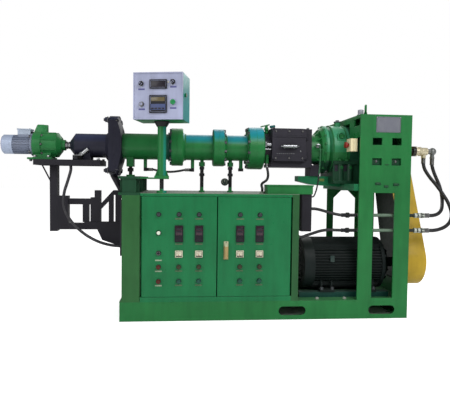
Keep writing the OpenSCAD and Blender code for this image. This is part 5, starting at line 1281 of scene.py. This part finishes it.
class EXTRUDER_OT_tower_fittings(bpy.types.Operator):
    """Bare nameplate, bolts in the square holes, lugs, breather, stop button and pipe fittings"""

    bl_idname = "extruder.tower_fittings"
    bl_label = "Tower fittings"

    def execute(self, context):
        face = -320
        plate = slab(709.5, 1157, 149, 92, face - 2.2, face + 0.5, 0.0008)
        inset_and_push(plate, lambda centre, normal: normal.y < -0.9, 0.004, -0.0007)
        dressed(plate, "name_plate", "plate", FRAME_BODY)
        corners = [(at(709.5 + sx * 70, face - 1.8, 1157 + sz * 42), -Y, 0.0) for sx in (-1, 1) for sz in (-1, 1)]
        dressed(joined("plate_rivets", copies(cap(0.0026, 0.0018, 0.0007, sides=14, rim=0.0006, sink=0.0001),
                                              corners)), "plate_rivets", "steel", FRAME_BODY)
        backing = [slab(x, 938, 62, 52, -304.5, -300, 0.0008) for x in (645, 764)]
        dressed(joined("hole_backings", backing), "hole_backings", "dark_green", FRAME_BODY)
        heads = [(at(x, -304, 940), -Y, 0.2) for x in (645, 764)]
        dressed(joined("hole_bolts", copies(hex_bolt(0.013, 0.007), heads)), "hole_bolts", "steel_dark",
                FRAME_BODY)
        lugs = [rod(at(x - length / 2, face, z), X, 0.0075, length * MM, sides=24, width=0.003)
                for x, z, length in ((653, 808, 34), (704, 792, 26), (765, 804, 34))]
        lugs.append(rod(at(694, face, 921), X, 0.0022, 0.024, sides=12, width=0.0008))
        dressed(joined("front_lugs", lugs), "front_lugs", "dark_green", FRAME_BODY)
        breather = [block(at(548, -262, 1215.8), at(584, -228, 1224), 0.002),
                    rod(at(566, -245, 1223), Z, 0.017, 0.028, sides=28, width=0.003)]
        dressed(joined("breather", breather), "breather", "grey_cast", FRAME_BODY)
        self.stop_button()
        self.hose_ends()
        self.guard_bolts()
        self.guard_pan()
        tag = slab(392, 826, 30, 17, -51.2, -49.6, 0.0004)
        dressed(tag, "arm_tag", "tag_olive", FRAME_BODY)
        body = rod(at(1048, 0, AXIS_Z), X, 0.0255, 0.060, sides=36, width=0.003)
        dressed(body, "union_sleeve", "union_brass", FRAME_BODY)
        return {"FINISHED"}

    def guard_pan(self):
        """The outer pan of the belt guard, slipped over it round both pulleys."""
        ends = [rod(at(864, y, z), X, radius, 0.141, sides=96, width=0.0)
                for y, z, radius in ((-100, 318, 0.1524), (150, 960, 0.1144))]
        pan = joined("belt_guard_pan", ends)
        make_active(pan)
        bpy.ops.object.mode_set(mode="EDIT")
        bpy.ops.mesh.select_all(action="SELECT")
        bpy.ops.mesh.convex_hull()
        bpy.ops.object.mode_set(mode="OBJECT")
        round_edges(pan, 0.009, 4)
        dressed(pan, "belt_guard_pan", "guard_yellow", FRAME_BODY)

    def stop_button(self):
        low, high = (Vector(c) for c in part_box("stop_station"))
        centre = Vector((low.x, -0.245, 1.038))
        head = copies(cap(0.0190, 0.0150, 0.0050, rim=0.004, sink=0.0012),
                      [(centre + Vector((0.016, 0, 0)), -X, 0.0)])[0]
        dressed(head, "stop_button", "stop_red", FRAME_BODY)

    def hose_ends(self):
        """Hexagon nuts and crimped sleeves where the hoses meet the tower's pipes and the union."""
        nuts = [(at(x, -288, z), X, 0.0) for x in (944, 898, 922) for z in (527, 618)]
        dressed(joined("pipe_nuts", copies(rod((0, 0, 0), Z, 0.0165, 0.016, sides=6, width=0.0012), nuts)),
                "pipe_nuts", "fitting_pale", FRAME_BODY)
        ferrules = [(at(990, -288, z), -X, 0.0) for z in (527, 618)]
        ferrules += [(at(1155, 0, 971), -Z, 0.0), (at(1095, 0, 978), -Z, 0.0)]
        barrel = EXTRUDER_OT_barrel_fittings
        sleeves = copies(barrel.crimp(self, 0.0142, 0.034), ferrules)
        dressed(joined("union_sleeves", sleeves), "union_sleeves", "steel_dark", FRAME_BODY)
        short = [(at(448, -288, z), X, 0.0) for z in (527, 618)]
        sleeves = copies(barrel.crimp(self, 0.0122, 0.026), short)
        dressed(joined("tower_sleeves", sleeves), "tower_sleeves", "control_black", FRAME_BODY)

    def guard_bolts(self):
        """Bolts along the guard's back lip."""
        places = []
        for y, z, radius, first, last, count in ((-100, 318, 154, 150, 340, 7), (150, 960, 116, -20, 170, 6)):
            for k in range(count):
                angle = math.radians(first + (last - first) * k / (count - 1))
                places.append((at(859, y + radius * math.cos(angle), z + radius * math.sin(angle)), X, 0.3))
        dressed(joined("guard_bolts", copies(hex_bolt(0.013, 0.008), places)), "guard_bolts", "steel",
                FRAME_BODY)


class EXTRUDER_OT_motor_fittings(bpy.types.Operator):
    """Foot bolts, end-bell bolts and plate of the main motor, and the deck's anchor bolts"""

    bl_idname = "extruder.motor_fittings"
    bl_label = "Main motor fittings"

    def execute(self, context):
        centre = at(0, -100, 305)
        feet = [(at(x, y, 158), Z, 0.2) for x in (352, 418, 612, 678) for y in (-232, 32)]
        dressed(joined("motor_foot_bolts", copies(hex_bolt(0.023, 0.015), feet)), "motor_foot_bolts", "bolt_dark",
                FRAME_BODY)
        ring = [(p + at(742, 0, 0), X, t) for p, a, t in ring_places(centre, X, 0.150, 8, math.radians(22))]
        dressed(joined("motor_end_bolts", copies(hex_bolt(0.016, 0.010), ring)), "motor_end_bolts", "bolt_dark",
                FRAME_BODY)
        plate = slab(407, 350, 26, 38, -264, -258)
        dressed(plate, "motor_plate", "plate_teal", FRAME_BODY)
        anchors = [(at(x, -278, 112), Z, 0.2) for x in (311, 480)]
        dressed(joined("deck_anchor_bolts", copies(hex_bolt(0.019, 0.010), anchors)), "deck_anchor_bolts",
                "fitting_pale", FRAME_BODY)
        return {"FINISHED"}


class EXTRUDER_OT_base_fittings(bpy.types.Operator):
    """Weld beads of the base, a strip at the columns and lugs along the cabinet's foot"""

    bl_idname = "extruder.base_fittings"
    bl_label = "Base fittings"

    def execute(self, context):
        beads = []
        for y in (-320, 320):
            beads.append(self.bead(at(-856, y + (4 if y < 0 else -4), 114), at(-737, y + (4 if y < 0 else -4), 114)))
        for x in (-855, 855):
            beads.append(self.bead(at(x * 0.9985, -300, 34), at(x * 0.9985, 300, 34)))
        dressed(joined("base_weld_beads", beads), "base_weld_beads", "green", FRAME_BODY)
        filler = block(at(-742.6, -317, 113), at(-739.2, -306, 726), 0.0005)
        dressed(filler, "column_gap_strip", "olive_green", FRAME_BODY)
        lugs = [slab(x, 116, 24, 8, -323.5, -312, 0.001) for x in (-557, -60)]
        dressed(joined("cabinet_foot_lugs", lugs), "cabinet_foot_lugs", "cabinet_green", FRAME_BODY)
        return {"FINISHED"}

    def bead(self, start, end):
        """A thin weld bead from one point to another."""
        way = end - start
        return rod(start, way, 0.0035, way.length, sides=8, width=0.0)


class EXTRUDER_OT_nodes(bpy.types.Operator):
    """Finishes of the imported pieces"""

    bl_idname = "extruder.nodes"
    bl_label = "Finishes"

    def execute(self, context):
        for finish, names in NODE_FINISH.items():
            for name in names:
                NODES[name].data.materials.clear()
                NODES[name].data.materials.append(FINISHES[finish])
        return {"FINISHED"}


class EXTRUDER_OT_stage(bpy.types.Operator):
    """Floor, lights, surroundings and camera"""

    bl_idname = "extruder.stage"
    bl_label = "Studio"

    def execute(self, context):
        stage = context.scene.extruder_stage
        self.camera(context, stage)
        self.floor()
        self.lights(stage)
        self.surroundings(context, stage)
        context.scene.view_settings.view_transform = "Standard"
        return {"FINISHED"}

    def camera(self, context, stage):
        data = bpy.data.cameras.new("camera")
        data.lens = stage.lens
        data.sensor_width = 36.0
        camera = bpy.data.objects.new("camera", data)
        turn = (Matrix.Rotation(-stage.yaw, 4, "Z") @ Matrix.Rotation(math.pi / 2 + stage.pitch, 4, "X")
                @ Matrix.Rotation(stage.roll, 4, "Z"))
        camera.matrix_world = Matrix.Translation(Vector(stage.place)) @ turn
        context.collection.objects.link(camera)
        context.scene.camera = camera

    def floor(self):
        deselect_all()
        bpy.ops.mesh.primitive_plane_add(size=60.0, location=(0, 0, -0.001))
        floor = bpy.context.object
        floor.name = "studio_floor"
        material, tree, shader = new_material("studio_floor")
        shader.inputs["Base Color"].default_value = (0.86, 0.86, 0.86, 1.0)
        shader.inputs["Roughness"].default_value = 0.9
        path = tree.nodes.new("ShaderNodeLightPath")
        place = tree.nodes.new("ShaderNodeSeparateXYZ")
        link(tree, tree.nodes.new("ShaderNodeTexCoord").outputs["Object"], place.inputs[0])
        clear = 0.0
        for axis, reach in (("X", 0.85), ("Y", 0.31)):
            away = math_node(tree, "GREATER_THAN", math_node(tree, "ABSOLUTE", place.outputs[axis]), reach)
            clear = math_node(tree, "ADD", away, clear, True)
        lift = math_node(tree, "MULTIPLY", math_node(tree, "MULTIPLY", path.outputs["Is Camera Ray"], 0.62),
                         clear)
        shader.inputs["Emission Color"].default_value = (1.0, 1.0, 1.0, 1.0)
        link(tree, lift, shader.inputs["Emission Strength"])
        floor.data.materials.append(material)

    def lights(self, stage):
        for name, place, aim, size, power in (
                ("key_light", (1.6, -3.4, 3.6), (0.0, 0.0, 0.8), 2.6, stage.key_power),
                ("fill_light", (-3.2, -2.6, 2.2), (-0.4, 0.0, 0.7), 2.4, stage.fill_power),
                ("back_light", (0.6, 3.0, 3.2), (0.0, 0.0, 0.8), 2.6, stage.fill_power)):
            data = bpy.data.lights.new(name, "AREA")
            data.shape = "SQUARE"
            data.size = size
            data.energy = power
            light = bpy.data.objects.new(name, data)
            aimed = (Vector(aim) - Vector(place)).to_track_quat("-Z", "Y")
            light.matrix_world = Matrix.Translation(Vector(place)) @ aimed.to_matrix().to_4x4()
            bpy.context.collection.objects.link(light)

    def surroundings(self, context, stage):
        world = bpy.data.worlds.new("studio")
        world.use_nodes = True
        tree = world.node_tree
        background = tree.nodes["Background"]
        background.inputs["Color"].default_value = (1.0, 1.0, 1.0, 1.0)
        path = tree.nodes.new("ShaderNodeLightPath")
        mirrored = map_range(tree, path.outputs["Is Glossy Ray"], 0.0, 1.0, stage.sky, stage.shine)
        strength = math_node(tree, "MAXIMUM", path.outputs["Is Camera Ray"], mirrored.outputs["Result"])
        link(tree, strength, background.inputs["Strength"])
        context.scene.world = world


class EXTRUDER_PT_panel(bpy.types.Panel):
    """Buttons for each group of pieces"""

    bl_idname = "EXTRUDER_PT_panel"
    bl_label = "Extruder"
    bl_space_type = "VIEW_3D"
    bl_region_type = "UI"
    bl_category = "Extruder"

    def draw(self, context):
        for group in ("extruder_sizes", "extruder_colours", "extruder_stage"):
            settings = getattr(context.scene, group)
            for key in settings.__annotations__:
                self.layout.prop(settings, key)
        for operator in OPERATORS:
            self.layout.operator(operator.bl_idname)


OPERATORS = (EXTRUDER_OT_stage, EXTRUDER_OT_cords, EXTRUDER_OT_nodes, EXTRUDER_OT_base_fittings,
             EXTRUDER_OT_door_fittings, EXTRUDER_OT_panel_fittings, EXTRUDER_OT_barrel_fittings,
             EXTRUDER_OT_head_fittings, EXTRUDER_OT_feed_fittings, EXTRUDER_OT_gearbox_fittings,
             EXTRUDER_OT_tower_fittings, EXTRUDER_OT_motor_fittings)
GROUPS = {"extruder_sizes": ExtruderSizes, "extruder_colours": ExtruderColours, "extruder_stage": ExtruderStage}


def register():
    for name, group in GROUPS.items():
        bpy.utils.register_class(group)
        setattr(bpy.types.Scene, name, bpy.props.PointerProperty(type=group))
    for operator in OPERATORS:
        bpy.utils.register_class(operator)
    bpy.utils.register_class(EXTRUDER_PT_panel)


def unregister():
    bpy.utils.unregister_class(EXTRUDER_PT_panel)
    for operator in reversed(OPERATORS):
        bpy.utils.unregister_class(operator)
    for name, group in GROUPS.items():
        delattr(bpy.types.Scene, name)
        bpy.utils.unregister_class(group)


def main():
    register()
    build_finishes(bpy.context.scene.extruder_colours)
    bpy.ops.extruder.stage()
    bpy.ops.extruder.cords()
    bpy.ops.extruder.nodes()
    bpy.ops.extruder.base_fittings()
    bpy.ops.extruder.door_fittings()
    bpy.ops.extruder.panel_fittings()
    bpy.ops.extruder.barrel_fittings()
    bpy.ops.extruder.head_fittings()
    bpy.ops.extruder.feed_fittings()
    bpy.ops.extruder.gearbox_fittings()
    bpy.ops.extruder.tower_fittings()
    bpy.ops.extruder.motor_fittings()


if __name__ == "__main__":
    main()
